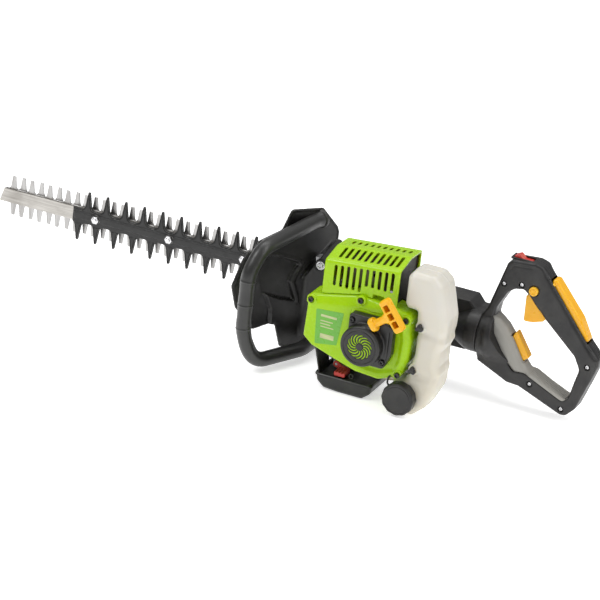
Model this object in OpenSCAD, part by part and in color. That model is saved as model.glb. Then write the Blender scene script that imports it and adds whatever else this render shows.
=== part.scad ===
// Double-sided petrol hedge trimmer, standing on its side on a flat surface.
// X runs along the blade with the rear handle at +X, +Y goes from the starter side to the
// blade side, and Z is up.  Local sizes are measured from the crank axis: X = 0, Z = 0 on the
// crank axis and Y = 0 on the outer face of the tooth guard.

/* [Cutting blades] */
// Distance from one tooth to the next
tooth_pitch = 35; // [34:0.5:36]
// Height of a blade tooth tip above the blade's centre line
blade_tip_z = 36; // [32:1:38]
// Height of a guard tooth tip above the blade's centre line
guard_tip_z = 45.5; // [42:0.5:48]
// Half width of the guide bar
bar_half = 12; // [11:0.5:13]
// Where the guide bar ends, ahead of the crank axis
bar_tip_x = -775; // [-790:1:-770]
// Thickness of each sliding blade
blade_t = 2.1; // [1.8:0.1:2.2]
// Spacing of the bolts along the bar
bolt_step = 140; // [138:1:142]

/* [Gear head] */
// Tooth size of the reduction gears
gear_module = 1.5; // [1.4:0.05:1.5]
// Teeth on the drive pinion
pinion_teeth = 12; // [12:1:12]
// Teeth on the drive gear
gear_teeth = 48; // [48:1:48]
// Radius of the two eccentric discs
cam_r = 16; // [15:0.5:16]
// Radial running clearance of shafts in their bearings
run_gap = 0.06; // [0.04:0.01:0.08]

/* [Engine] */
// Bore radius of the cylinder
bore_r = 17; // [15:0.5:18]
// Crank throw
crank_throw = 14; // [12:0.5:14]
// Length of the connecting rod between its pins
rod_len = 48; // [46:0.5:48]
// Outer radius of the flywheel
flywheel_r = 46; // [42:1:47]

/* [Covers and tank] */
// Wall thickness of the plastic covers
cover_wall = 2.5; // [2:0.1:3]
// Wall thickness of the fuel tank
tank_wall = 3; // [2:0.2:3.4]
// Slots in each row of the muffler cover
slot_count = 10; // [8:1:10]
// Curved vent slots in the starter
vent_count = 14; // [12:1:16]

/* [Handles] */
// Radius of the front handle tube
front_tube_r = 12.5; // [11.5:0.5:13]
// Thickness of the rear handle
grip_w = 36; // [34:1:38]
// Wall thickness of the rear handle shells
grip_wall = 3; // [2.6:0.1:3.2]
// Height of the crank axis above the surface that the machine stands on
stand_h = 114; // [114:1:114]

/* [Hidden] */
$fn = 64;
origin_x = 215.32;
origin_y = 96.876;
green = [0.5, 0.78, 0.08];
black = [0.09, 0.09, 0.09];
dark = [0.2, 0.2, 0.2];
yellow = [0.98, 0.66, 0.05];
red = [0.8, 0.1, 0.08];
steel = [0.75, 0.75, 0.77];
alloy = [0.68, 0.69, 0.7];
cream = [0.93, 0.91, 0.83];

// Blade stack, outer face to inner face
bar_y0 = 1;
bar_y1 = 5;
front_y0 = 5.3;
front_y1 = front_y0 + blade_t;
back_y0 = 7.7;
back_y1 = back_y0 + blade_t;
stroke = tooth_pitch / 2;
guard_x0 = -631;
guard_x1 = -172;
guard_up_x = -602.5;
guard_low_x = -620;
blade_x0 = -766;
bolt_x0 = -586;
bolts = [for (i = [0:2]) bolt_x0 + i * bolt_step];
bar_screw_at = [-140, -122];
bolt_r = 4;

// Gear head
gear_x = -gear_module * (pinion_teeth + gear_teeth) / 2;
gear_y0 = -9;
gear_y1 = -0.5;
axle_r = 6;
shaft_r = 6;
case_y0 = -22;
case_y1 = 11;
bearing_r = 12;
housing_y0 = -84;

// Hand shield's flange and bolts
flange_y = -32;
shield_bolt_x = -155;
shield_bolt_z = [38, -38];

// Engine
cyl_y = -106;
crank_end_y = -196;
fan_y0 = -185;
fan_y1 = -140;

// Starter
starter_y = -218;
reel_r = 22.2;
pull_dir = [0.79, 0, 0.613];
pull_side = [-0.613, 0, 0.79];
pull_angle = 52.2;
rope_y = -209;
plate_y = -200;
reel_post_r = 6;

rope_start = pull_side * reel_r + [0, rope_y, 0];

// Fuel tank and cap
tank_y0 = -178;
tank_y1 = -115;
cap_x = 66;
cap_z = -82;

// Rear handle
mid_y = -34;
swivel_x = 139;
hub_r = 38;
spigot_r = 16;
trigger_pivot = [232, 92];
hold_at = [222, 99];
hold_r = 7.5;
lever_pivot = [252, 116];
switch_pivot = [193, 139];

// ---- shape helpers ----------------------------------------------------------------------

function unit(v) = v / norm(v);

// Corners given as [x, z, radius], turned into an outline with round corners.
function rounded(corners, steps = 5) = [
    for (i = [0:len(corners) - 1])
        let (
            n = len(corners),
            p = corners[i],
            at = [p[0], p[1]],
            before = corners[(i + n - 1) % n],
            after = corners[(i + 1) % n],
            u = unit([before[0], before[1]] - at),
            v = unit([after[0], after[1]] - at),
            half = acos(max(-1, min(1, u * v))) / 2,
            cut = p[2] / tan(half),
            a = at + u * cut,
            c = at + v * cut)
        each (p[2] <= 0 || half > 88) ? [at] :
            [for (k = [0:steps]) let (t = k / steps)
                (1 - t) * (1 - t) * a + 2 * t * (1 - t) * at + t * t * c]
];

// Corners moved inwards by d (outwards when d is negative); corners run anticlockwise.
function inset(corners, d) = [
    for (i = [0:len(corners) - 1])
        let (
            n = len(corners),
            p = corners[i],
            at = [p[0], p[1]],
            before = corners[(i + n - 1) % n],
            after = corners[(i + 1) % n],
            u = unit(at - [before[0], before[1]]),
            v = unit([after[0], after[1]] - at),
            m = unit([-u[1], u[0]] + [-v[1], v[0]]),
            s = d / max(0.35, m * [-v[1], v[0]]),
            r = max(0.5, p[2] + (cross(u, v) > 0 ? -d : d)))
        [at[0] + m[0] * s, at[1] + m[1] * s, p[2] <= 0 ? 0 : r]
];

// A path whose inner corners are rounded, each over the length that cuts gives for it.
function bent(points, cuts, steps = 6) = [
    points[0],
    for (i = [1:len(points) - 2])
        let (
            a = points[i] + unit(points[i - 1] - points[i]) * cuts[i - 1],
            c = points[i] + unit(points[i + 1] - points[i]) * cuts[i - 1])
        for (k = [0:steps]) let (t = k / steps)
            (1 - t) * (1 - t) * a + 2 * t * (1 - t) * points[i] + t * t * c,
    points[len(points) - 1]
];

// A round tube swept along a path.
module tube(path, r, sides = 12, up = [0.13, 0.21, 0.97]) {
    n = len(path);
    rings = [
        for (i = [0:n - 1])
            let (
                t = unit(path[min(n - 1, i + 1)] - path[max(0, i - 1)]),
                a = unit(cross(up, t)),
                b = cross(t, a))
            for (k = [0:sides - 1]) path[i] + r * (cos(k * 360 / sides) * a + sin(k * 360 / sides) * b)
    ];
    walls = [
        for (i = [0:n - 2], k = [0:sides - 1])
            [i * sides + k, (i + 1) * sides + k,
                (i + 1) * sides + (k + 1) % sides, i * sides + (k + 1) % sides]
    ];
    start_cap = [for (k = [0:sides - 1]) k];
    end_cap = [for (k = [sides - 1:-1:0]) (n - 1) * sides + k];
    polyhedron(points = rings, faces = concat(walls, [start_cap, end_cap]));
}

// An outline in the XZ plane, extruded from y0 to y1.
module prism(outline, y0, y1) {
    translate([0, y1, 0]) rotate([90, 0, 0]) linear_extrude(y1 - y0) polygon(outline);
}

// Cylinders along each axis, from one coordinate to the other.
module y_rod(x, z, y0, y1, r) {
    translate([x, y1, z]) rotate([90, 0, 0]) cylinder(h = y1 - y0, r = r);
}
module x_rod(y, z, x0, x1, r) {
    translate([x0, y, z]) rotate([0, 90, 0]) cylinder(h = x1 - x0, r = r);
}
module z_rod(x, y, z0, z1, r) {
    translate([x, y, z0]) cylinder(h = z1 - z0, r = r);
}
module block(x0, x1, y0, y1, z0, z1) {
    translate([x0, y0, z0]) cube([x1 - x0, y1 - y0, z1 - z0]);
}
module hexagon(x, z, y0, y1, across) {
    translate([x, y1, z]) rotate([90, 0, 0]) cylinder(h = y1 - y0, r = across / sqrt(3), $fn = 6);
}
function box_corners(x0, x1, z0, z1, r) = [[x0, z0, r], [x1, z0, r], [x1, z1, r], [x0, z1, r]];

// A socket-head screw along Y with its head at the low-Y end.
module screw(x, z, head_y, length, r = 2.4) {
    difference() {
        union() {
            y_rod(x, z, head_y, head_y + 4, r * 1.8);
            y_rod(x, z, head_y + 4, head_y + length, r);
        }
        hexagon(x, z, head_y - 1, head_y + 2.4, r * 1.7);
    }
}

// Spur gear tooth flanks from the involute of the base circle.
pressure = 20;
backlash = 0.12;
function involute_angle(a) = tan(a) * 180 / PI - a;
function gear_outline(teeth, add, ded) =
    let (
        rp = gear_module * teeth / 2,
        rb = rp * cos(pressure),
        rr = rp - ded,
        ra = rp + add,
        half = 90 / teeth - backlash / rp * 180 / PI + involute_angle(pressure),
        radii = [for (k = [0:4]) max(rb, rr) + (ra - max(rb, rr)) * k / 4],
        angles = [for (q = radii) half - involute_angle(acos(min(1, rb / q)))])
    [for (i = [0:teeth - 1]) let (c = i * 360 / teeth) each concat(
        [rr * [cos(c - angles[0]), sin(c - angles[0])]],
        [for (k = [0:4]) radii[k] * [cos(c - angles[k]), sin(c - angles[k])]],
        [for (k = [4:-1:0]) radii[k] * [cos(c + angles[k]), sin(c + angles[k])]],
        [rr * [cos(c + angles[0]), sin(c + angles[0])]])];

module spur_gear(teeth, x, y0, y1, add, turn = 0) {
    translate([x, y1, 0]) rotate([90, 0, 0]) rotate([0, 0, turn])
        linear_extrude(y1 - y0) polygon(gear_outline(teeth, add, 1.25 * gear_module));
}

// ---- blade ------------------------------------------------------------------------------

// One tooth with narrow shoulders; side = 1 stands up and -1 hangs down.
module tooth(x, side, root, base, tip, top, y0, y1) {
    shoulder = base * 0.74;
    prism([[x - base, 0], [x + base, 0], [x + base, side * root], [x + shoulder, side * (root + 3.5)],
        [x + tip, side * top], [x - tip, side * top], [x - shoulder, side * (root + 3.5)],
        [x - base, side * root]], y0, y1);
}

module guide_bar() {
    color(steel) difference() {
        prism([[bar_tip_x, -bar_half], [-112, -bar_half], [-112, bar_half], [bar_tip_x + 8, bar_half]],
            bar_y0, bar_y1);
        for (x = bolts) y_rod(x, 0, 0, 6, bolt_r + 0.05);
        for (x = bar_screw_at) y_rod(x, 0, 0, 6, 3.05);
    }
}

module tooth_guard() {
    color(black) difference() {
        union() {
            prism([[guard_x0, -bar_half - 1.5], [guard_x1, -bar_half - 1.5], [guard_x1, bar_half + 1.5],
                [guard_x0, bar_half + 1.5]], -1.4, 0.9);
            prism([[guard_x0 + 3, -6.5], [guard_x1, -6.5], [guard_x1, 6.5], [guard_x0 + 3, 6.5]],
                -3.4, -1.2);
            for (i = [0:11])
                tooth(guard_up_x + i * tooth_pitch, 1, bar_half + 1, 8.8, 2.3, guard_tip_z, -1.4, 0.9);
            for (i = [0:12])
                tooth(guard_low_x + i * tooth_pitch, -1, bar_half + 1, 8.8, 2.3, guard_tip_z, -1.4, 0.9);
        }
        for (x = bolts) y_rod(x, 0, -8, 2, bolt_r + 0.05);
    }
}

// A sliding blade: lead is the offset of its teeth from the guard's teeth.
module blade(lead, first, y0, y1) {
    cam_x = gear_x + lead;
    difference() {
        union() {
            prism([[blade_x0 + lead + 8.75, -bar_half - 1], [cam_x - 20, -bar_half - 1],
                [cam_x - 20, bar_half + 1], [blade_x0 + lead + 8.75, bar_half + 1]], y0, y1);
            for (i = [first[0]:11])
                tooth(guard_up_x + lead + i * tooth_pitch, 1, bar_half + 1, 7.8, 3.2, blade_tip_z, y0, y1);
            for (i = [first[1]:12])
                tooth(guard_low_x + lead + i * tooth_pitch, -1, bar_half + 1, 7.8, 3.2, blade_tip_z, y0, y1);
            prism(rounded(box_corners(cam_x - 25, cam_x + 25, -32, 32, 10)), y0, y1);
        }
        block(cam_x - cam_r - 2, cam_x + cam_r + 2, y0 - 1, y1 + 1, -cam_r - 9.3, cam_r + 9.3);
        for (x = bolts)
            prism(rounded(box_corners(x + lead - 14, x + lead + 14, -4.5, 4.5, 4.4)), y0 - 1, y1 + 1);
    }
}
module blade_front() { color(steel) blade(-stroke / 2, [-4, -3], front_y0, front_y1); }
module blade_back() { color(steel) blade(stroke / 2, [-4, -4], back_y0, back_y1); }

module blade_bolts() {
    color(steel) for (x = bolts) {
        y_rod(x, 0, -11, back_y1 + 0.4, bolt_r);
        hexagon(x, 0, back_y1 + 0.3, back_y1 + 4.8, 13);
        difference() {
            union() {
                hexagon(x, 0, -8.6, -4.4, 13);
                y_rod(x, 0, -4.4, -3.4, 8.5);
            }
            y_rod(x, 0, -12, 0, bolt_r);
        }
    }
    color(steel) for (x = bar_screw_at) difference() {
        y_rod(x, 0, -11, bar_y1 - 0.2, 3);
        hexagon(x, 0, 3, 6, 3);
    }
}

// ---- gear head --------------------------------------------------------------------------

case_corners = [[-150, -24, 4], [-92, -46, 10], [-30, -54, 14], [30, -46, 14], [60, -40, 5],
    [60, 40, 5], [30, 46, 14], [-30, 54, 14], [-92, 46, 10], [-150, 24, 4]];
case_screw_at = [[-142, 20], [-142, -20], [-88, 41], [-88, -41], [52, 33], [52, -33]];

// Lug at the blade end of the gear case that the hand shield is bolted to.
module ear(side) {
    z0 = side > 0 ? 14 : -50;
    block(-166, -136, flange_y + 3.5, -12, z0, z0 + 36);
}

module gear_case() {
    color(alloy) difference() {
        union() {
            prism(rounded(case_corners), case_y0, case_y1);
            y_rod(0, 0, -60, case_y0 + 1, 20);
            y_rod(0, 0, housing_y0, -54, 46);
            for (x = [-100, 40]) block(x - 6, x + 6, -40, case_y0 + 1, -14, 14);
            for (side = [-1, 1]) ear(side);
        }
        for (z = shield_bolt_z) y_rod(shield_bolt_x, z, flange_y - 1, -13, 3.05);
        // clutch chamber, shaft passage and bearing seats
        y_rod(0, 0, housing_y0 - 1, -58, 40.5);
        y_rod(0, 0, -60, 0, 8);
        y_rod(0, 0, -54, -46, bearing_r);
        y_rod(0, 0, -28, -20, bearing_r);
        // gear chamber
        y_rod(gear_x, 0, -16, case_y1 + 1, 39.5);
        y_rod(0, 0, -16, case_y1 + 1, 13);
        block(-98, -2, 4.2, case_y1 + 1, -35, 35);
        // blade channel
        block(-160, -60, 4.9, case_y1 + 1, -15.5, 15.5);
        block(-160, -80, 0.9, 6, -bar_half - 0.05, bar_half + 0.05);
        y_rod(gear_x, 0, -21, 0, axle_r);
        for (x = bar_screw_at) y_rod(x, 0, -12, 6, 3);
        for (p = case_screw_at) y_rod(p[0], p[1], -6, case_y1 + 1, 2);
        // pockets that keep the casting's walls even
        intersection() {
            prism(rounded(inset(case_corners, 5)), case_y0 + 5, case_y1 + 1);
            union() {
                block(18, 44, case_y0, case_y1 + 2, -60, 60);
                for (side = [-1, 1])
                    block(-134, -98, case_y0, 3, side > 0 ? 19 : -60, side > 0 ? 60 : -19);
            }
        }
    }
}

module gear_case_cover() {
    color(dark) difference() {
        prism(rounded(case_corners), case_y1, case_y1 + 3);
        y_rod(gear_x, 0, case_y1 - 1, case_y1 + 4, axle_r);
        for (p = case_screw_at) y_rod(p[0], p[1], case_y1 - 1, case_y1 + 4, 2.05);
    }
}

module gear_axle() {
    color(steel) y_rod(gear_x, 0, -21, case_y1 + 3, axle_r);
}

module shaft_bearings() {
    color(steel) {
        for (y = [-54, -28]) difference() {
            y_rod(0, 0, y, y + 8, bearing_r);
            y_rod(0, 0, y - 1, y + 9, shaft_r + run_gap);
        }
        for (y = [-94, -126]) difference() {
            y_rod(0, 0, y, y + 8, 16);
            y_rod(0, 0, y - 1, y + 9, 8);
        }
    }
}

module drive_gear() {
    color(steel) difference() {
        union() {
            spur_gear(gear_teeth, gear_x, gear_y0, gear_y1, 0.75 * gear_module, 3.75);
            y_rod(gear_x, 0, -15, gear_y0, 11);
            y_rod(gear_x, 0, gear_y1 - 0.1, 5, 11);
            y_rod(gear_x - stroke / 2, 0, 4.9, 7.55, cam_r);
            y_rod(gear_x + stroke / 2, 0, 7.55, back_y1 + 0.2, cam_r);
            y_rod(gear_x, 0, back_y1, case_y1 - 0.3, 8.5);
        }
        y_rod(gear_x, 0, -30, 20, axle_r + run_gap);
        for (a = [0:60:300]) y_rod(gear_x + 23 * cos(a), 23 * sin(a), gear_y0 - 1, gear_y1 + 1, 6);
    }
}

module clutch_drum() {
    color(steel) {
        difference() {
            union() {
                y_rod(0, 0, -80, -59, 38);
                y_rod(0, 0, -60, 0.5, shaft_r);
                spur_gear(pinion_teeth, 0, -12, 0.5, 0.9 * gear_module, 0);
            }
            y_rod(0, 0, -81, -61.5, 35.5);
            for (a = [0:60:300]) y_rod(25 * cos(a), 25 * sin(a), -63, -58, 4);
        }
    }
}

// Hub with two posts, and the two shoes that swing out on them.
module clutch_shoes() {
    y0 = -78;
    y1 = -66;
    color(alloy) {
        difference() {
            union() {
                y_rod(0, 0, y0, y1, 11);
                block(-3, 3, y0, y1, -24, 24);
            }
            y_rod(0, 0, y0 - 1, y1 + 1, 8.02);
        }
        difference() {
            y_rod(0, 0, y0, y1, 33);
            y_rod(0, 0, y0 - 1, y1 + 1, 12.5);
            block(-40, 40, y0 - 1, y1 + 1, -1.5, 1.5);
            block(-3.4, 3.4, y0 - 1, y1 + 1, -24.4, 24.4);
            difference() {
                y_rod(0, 0, -74, -70, 34);
                y_rod(0, 0, -75, -69, 29.5);
            }
        }
    }
}

module clutch_spring() {
    color(steel) translate([0, -72, 0]) rotate([90, 0, 0])
        rotate_extrude() translate([31.3, 0]) circle(r = 1.4, $fn = 16);
}

// ---- engine -----------------------------------------------------------------------------

case_round = 34;
module crankcase(y0, y1, bearing_y) {
    difference() {
        union() {
            y_rod(0, 0, y0, y1, case_round);
            block(-42, -10, y0, y1, -27, 27);
        }
        y_rod(0, 0, max(y0 - 1, -120), min(y1 + 1, -92), 30);
        y_rod(0, 0, y0 - 1, y1 + 1, 9);
        y_rod(0, 0, bearing_y, bearing_y + 8, 16);
        x_rod(cyl_y, 0, -43, 0, 20.4);
    }
}
module crankcase_front() { color(alloy) crankcase(cyl_y, housing_y0, -94); }
module crankcase_rear() { color(alloy) crankcase(-128, cyl_y, -126); }

module crankshaft() {
    pin_x = -crank_throw;
    color(steel) {
        difference() {
            union() {
                y_rod(0, 0, crank_end_y, -112.2, 8);
                y_rod(0, 0, -99.8, -64, 8);
                y_rod(pin_x, 0, -114, -98, 5);
                for (y = [-118, -99.8]) intersection() {
                    y_rod(0, 0, y, y + 5.8, 28.5);
                    union() {
                        block(-24, 8, y, y + 5.8, -11, 11);
                        block(-2, 40, y, y + 5.8, -40, 40);
                    }
                }
            }
            y_rod(0, 0, crank_end_y - 1, crank_end_y + 12, 3);
        }
    }
}

module connecting_rod() {
    pin_x = -crank_throw;
    head_x = pin_x - rod_len;
    color(steel) difference() {
        union() {
            y_rod(pin_x, 0, -109.5, -102.5, 9);
            y_rod(head_x, 0, -110, -102, 6.5);
            block(head_x, pin_x, -108, -104, -4, 4);
        }
        y_rod(pin_x, 0, -112, -100, 5.03);
        y_rod(head_x, 0, -112, -100, 4.03);
    }
}

module piston() {
    head_x = -crank_throw - rod_len;
    color(alloy) {
        difference() {
            x_rod(cyl_y, 0, head_x - 13, head_x + 11, bore_r - 0.1);
            x_rod(cyl_y, 0, head_x - 9, head_x + 12, bore_r - 4);
            for (x = [head_x - 11, head_x - 7.5]) difference() {
                x_rod(cyl_y, 0, x, x + 1.5, bore_r + 1);
                x_rod(cyl_y, 0, x - 1, x + 2.5, bore_r - 1.6);
            }
        }
        y_rod(head_x, 0, cyl_y - 15, cyl_y + 15, 4);
    }
}

module cylinder_body() {
    color(alloy) difference() {
        union() {
            x_rod(cyl_y, 0, -92, -30, 20.3);
            block(-50, -42, cyl_y - 26, housing_y0 - 0.3, -27, 27);
            for (i = [0:7]) block(-92 + i * 5, -90 + i * 5, cyl_y - 33, cyl_y + 33, -33, 33);
            z_rod(-66, cyl_y, 0, 60, 12);
            z_rod(-60, cyl_y, -44, 0, 12);
            x_rod(cyl_y, 0, -97, -90, 10);
        }
        x_rod(cyl_y, 0, -82, -20, bore_r);
        z_rod(-66, cyl_y, 10, 61, 7);
        z_rod(-60, cyl_y, -45, -10, 7);
        x_rod(cyl_y, 0, -98, -80, 5.02);
    }
}

module spark_plug() {
    color(steel) {
        x_rod(cyl_y, 0, -97, -84, 5);
        translate([-103, cyl_y, 0]) rotate([0, 90, 0]) cylinder(h = 6, r = 8, $fn = 6);
        x_rod(cyl_y, 0, -110, -103, 4.5);
        x_rod(cyl_y, 0, -116, -110, 2.5);
    }
}

boot_path = [[-122, -106, 0], [-122, -124, 12], [-100, -140, 36], [-60, -150, 47], [-20, -152, 50]];
module plug_boot() {
    color(black) {
        difference() {
            union() {
                x_rod(cyl_y, 0, -124, -105, 8);
                translate([-121, cyl_y, 0]) sphere(r = 8);
            }
            x_rod(cyl_y, 0, -116.5, -100, 4.6);
        }
        tube(bent(boot_path, [9, 12, 14], 4), 3, 8);
    }
}

module flywheel() {
    color(alloy) difference() {
        union() {
            y_rod(0, 0, -152, -146, flywheel_r);
            y_rod(0, 0, -168, -146, 18);
            for (a = [0:24:336]) rotate([0, a, 0]) block(24, flywheel_r - 1, -168, -150, -1.2, 1.2);
        }
        y_rod(0, 0, -170, -140, 8.02);
    }
}

module ignition_coil() {
    color(black) {
        block(-16, 16, -154, -146, flywheel_r + 1, flywheel_r + 6);
        block(-9, 9, -158, -143, flywheel_r + 6, 60);
    }
}

// ---- exhaust ----------------------------------------------------------------------------

module muffler() {
    color(steel) difference() {
        union() {
            prism(rounded(box_corners(-74, 0, 60.3, 108, 8)), -136.6, -96);
            y_rod(-14, 96, -148, -135.6, 5);
        }
        prism(rounded(box_corners(-72, -2, 62.3, 106, 7)), -134.6, -98);
        z_rod(-66, cyl_y, 55, 66, 7);
        y_rod(-14, 96, -150, -133.6, 3.5);
    }
}

// Section of the muffler cover across X, given as Y and Z, where its roof is lowest.
muffler_corners = [[-178, 20, 0], [-88, 20, 0], [-88, 126, 5], [-132, 127.8, 14], [-176, 117, 9]];
cover_x0 = -92;
cover_x1 = 39;
cover_z0 = 52;
// The roof rises towards the tank.
roof_rise = 4.9;
roof_low_x = -71;
slot_pitch = 10.9;
slot_w = 5.2;

// A section given as Y and Z, extruded from x0 to x1.
module x_prism(outline, x0, x1) {
    translate([x0, 0, 0]) rotate([0, 0, 90]) rotate([90, 0, 0]) linear_extrude(x1 - x0) polygon(outline);
}

// The muffler cover's shape from x0 to x1 and upwards from z0, drawn in by gap.
module roofed(gap, x0, x1, z0) {
    intersection() {
        block(x0, x1, -190, -70, z0, 160);
        translate([roof_low_x, 0, 0]) rotate([0, -roof_rise, 0])
            x_prism(rounded(inset(muffler_corners, gap)), -60, 140);
    }
}

// The room that the fan cover and its plate take under the muffler cover.
module fan_room() {
    prism(rounded(inset(fan_corners, -0.4)), fan_y0 - 5, fan_y1);
    prism(rounded(inset(fan_corners, -2.4)), fan_y1 - 0.3, fan_y1 + 3.4);
}

module heat_shield() {
    color(dark) difference() {
        roofed(cover_wall + 0.6, 33, 34.5, cover_z0);
        x_rod(-106, 92, 30, 36, 12);
        fan_room();
    }
}

module muffler_cover() {
    color(green) difference() {
        roofed(0, cover_x0, cover_x1, cover_z0);
        roofed(cover_wall, cover_x0 + cover_wall, cover_x1 + 2, cover_z0 - 5);
        fan_room();
        for (i = [0:slot_count - 1]) let (x = roof_low_x - slot_w / 2 + i * slot_pitch, up = 1.2 * i) {
            block(x, x + slot_w, -185, -155, i < 5 ? 74 : 86, 109 + up);
            block(x, x + slot_w, -165.5, -135.5, 112, 145);
            block(x, x + slot_w, -117, -102, 112, 145);
        }
    }
}

// ---- intake -----------------------------------------------------------------------------

module inlet_spacer() {
    color(dark) difference() {
        block(-76, -44, -124, -88, -58, -44);
        z_rod(-60, cyl_y, -59, -43, 7);
    }
}

module carburettor() {
    color(alloy) difference() {
        union() {
            block(-78, -42, -124, -88, -86, -58);
            y_rod(-66, -76, -141, -123, 2);
            x_rod(cyl_y, -72, -90, -77, 10.5);
            z_rod(-60, cyl_y, -90, -85, 15);
        }
        z_rod(-60, cyl_y, -91, -57, 7);
        x_rod(cyl_y, -72, -91, -83, 8.4);
    }
}

module choke_lever() {
    color(red) difference() {
        union() {
            y_rod(-66, -76, -140, -133.5, 5);
            prism(rounded([[-69, -80, 2], [-56, -86, 2], [-42, -86, 2], [-42, -79, 2], [-56, -77, 2],
                [-64, -72, 2]]), -141, -135);
            prism(rounded([[-60, -87, 2], [-41, -87, 2], [-41, -79, 2], [-60, -79, 2]]), -161, -138);
        }
        y_rod(-66, -76, -150, -130, 2.06);
    }
}

// Half section of the bulb: distance from its axis, then height above the carburettor.
bulb_profile = [[0, 0], [8, 0], [8, 1.5], [7.2, 4.5], [5.2, 7.2], [2.6, 8.6], [0, 9]];
module primer_bulb() {
    color(red) translate([-88, cyl_y, -72]) rotate([0, -90, 0]) rotate_extrude() polygon(bulb_profile);
}

module filter_base() {
    color(black) difference() {
        union() {
            block(-85.6, 3.4, -162.5, -63, -94, -90);
            prism([[-98, -46], [-94.5, -46], [-84.5, -90.5], [-84.5, -94], [-85.6, -94]], -162, -119);
        }
        z_rod(-60, cyl_y, -95, -89, 7);
    }
}

module filter_foam() {
    color([0.35, 0.38, 0.36]) block(-76, -10, -150, -74, -106, -94);
}

// A tray, open towards its rim.
tray_y0 = -166;
function tray_corners(rim_z) = [[-92, rim_z, 2], [-88, -102, 7], [-76, -112, 8], [-50, -stand_h, 4],
    [-8, -stand_h, 6], [5, -104, 9], [9, rim_z, 2]];
module filter_cover() {
    color(black) difference() {
        prism(rounded(tray_corners(-86)), tray_y0, -60);
        prism(rounded(inset(tray_corners(-75), cover_wall)), tray_y0 + cover_wall, -60 - cover_wall);
    }
}

// ---- covers and starter -----------------------------------------------------------------

fan_corners = [[-109, 50, 6], [-112, -21, 5], [-96, -34, 8], [-54, -48, 12], [-17, -59, 14], [24, -62, 16],
    [58, -50, 14], [69, -25, 12], [71, 12, 20], [68, 30, 10], [67, 58, 8], [30, 66, 8], [-23, 70, 10],
    [-97, 54, 10]];
cover_screw_at = [[-104, 44], [-19, 64], [61, 50], [57, -46]];
starter_screw_at = [[-24, 35], [34, -24]];

module fan_cover() {
    color(green) difference() {
        prism(rounded(fan_corners), fan_y0, fan_y1);
        prism(rounded(inset(fan_corners, cover_wall)), fan_y0 + cover_wall, fan_y1 + 1);
        y_rod(0, 0, fan_y0 - 1, fan_y0 + 5, 32);
        for (p = cover_screw_at) y_rod(p[0], p[1], fan_y0 - 1, fan_y1 + 1, 2.5);
        for (p = starter_screw_at) y_rod(p[0], p[1], fan_y0 - 1, fan_y0 + 5, 2);
    }
}

// Plate behind the fan, with the pillars that the cover screws into.
module shroud_plate() {
    color(black) difference() {
        union() {
            prism(rounded(inset(fan_corners, -2)), fan_y1, fan_y1 + 3);
            intersection() {
                for (p = cover_screw_at) y_rod(p[0], p[1], fan_y0 + cover_wall + 0.2, fan_y1 + 1, 5);
                prism(rounded(inset(fan_corners, cover_wall + 0.1)), fan_y0, fan_y1 + 2);
            }
        }
        y_rod(0, 0, fan_y1 - 1, fan_y1 + 4, 13);
        block(-96, -40, fan_y1 - 1, fan_y1 + 4, -36, 36);
        for (p = cover_screw_at) y_rod(p[0], p[1], fan_y0, fan_y1 + 4, 2.45);
        tube(bent(boot_path, [9, 12, 14], 4), 3.6, 8);
    }
}

module housing_screws() {
    color(black) {
        for (p = cover_screw_at) screw(p[0], p[1], fan_y0 - 4, 30);
        for (p = starter_screw_at) screw(p[0], p[1], plate_y - 4, 22, 2);
    }
}

starter_corners = [[-30, -26, 14], [-12, -36, 14], [36, -36, 8], [47, -10, 10], [47, 38, 8], [26, 46, 6],
    [-30, 46, 7]];
module starter_housing() {
    color(black) {
        difference() {
            union() {
                prism(rounded(starter_corners), plate_y, fan_y0);
                y_rod(0, 0, starter_y, plate_y + 1, 34);
                // rope guide around the exit
                translate(rope_start + 22 * pull_dir) rotate([0, pull_angle, 0]) cylinder(h = 12, r = 7);
            }
            y_rod(0, 0, starter_y + 2.4, fan_y0 + 1, 30);
            translate(rope_start) rotate([0, pull_angle, 0]) cylinder(h = 80, r = 2.6);
            for (p = starter_screw_at) y_rod(p[0], p[1], plate_y - 1, fan_y0 + 1, 2.05);
            for (i = [0:vent_count - 1]) rotate([0, i * 360 / vent_count, 0])
                prism(vent_slot, starter_y - 1, starter_y + 3);
        }
        y_rod(0, 0, starter_y + 1, -202.6, reel_post_r);
    }
}

// One curved vent slot, a crescent that sweeps outwards from the centre.
vent_slot = concat(
    [for (t = [0:0.2:1]) let (r = 7 + 15.5 * t, a = 62 * t * t) r * [cos(a), sin(a)]],
    [for (t = [1:-0.2:0]) let (r = 7 + 15.5 * t, a = 62 * t * t + 11) r * [cos(a), sin(a)]]);

module vent_disc() {
    color(green) difference() {
        y_rod(0, 0, starter_y + 2.4, starter_y + 3.4, 24);
        y_rod(0, 0, starter_y, starter_y + 5, reel_post_r + 0.05);
    }
}

module starter_reel() {
    color(dark) difference() {
        union() {
            y_rod(0, 0, rope_y - 4, rope_y - 2.2, 28);
            y_rod(0, 0, rope_y - 3, rope_y + 3, reel_r - 2);
            y_rod(0, 0, rope_y + 2.2, rope_y + 6, 28);
        }
        y_rod(0, 0, -215, -198, reel_post_r + run_gap);
    }
}

// Flat coil of spring steel, as a spiral strip.
spring_turns = 5;
function spiral(r, a) = r * [cos(a), sin(a)];
module recoil_spring() {
    color(steel) prism(concat(
        [for (a = [0:20:360 * spring_turns]) spiral(11 + 15 * a / 360 / spring_turns, a)],
        [for (a = [360 * spring_turns:-20:0]) spiral(11.8 + 15 * a / 360 / spring_turns, a)]), -202, -198);
}

module starter_rope() {
    color(dark) tube([for (i = [0:4]) rope_start + pull_dir * (1 + i * 16)], 1.6, 8);
}

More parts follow.
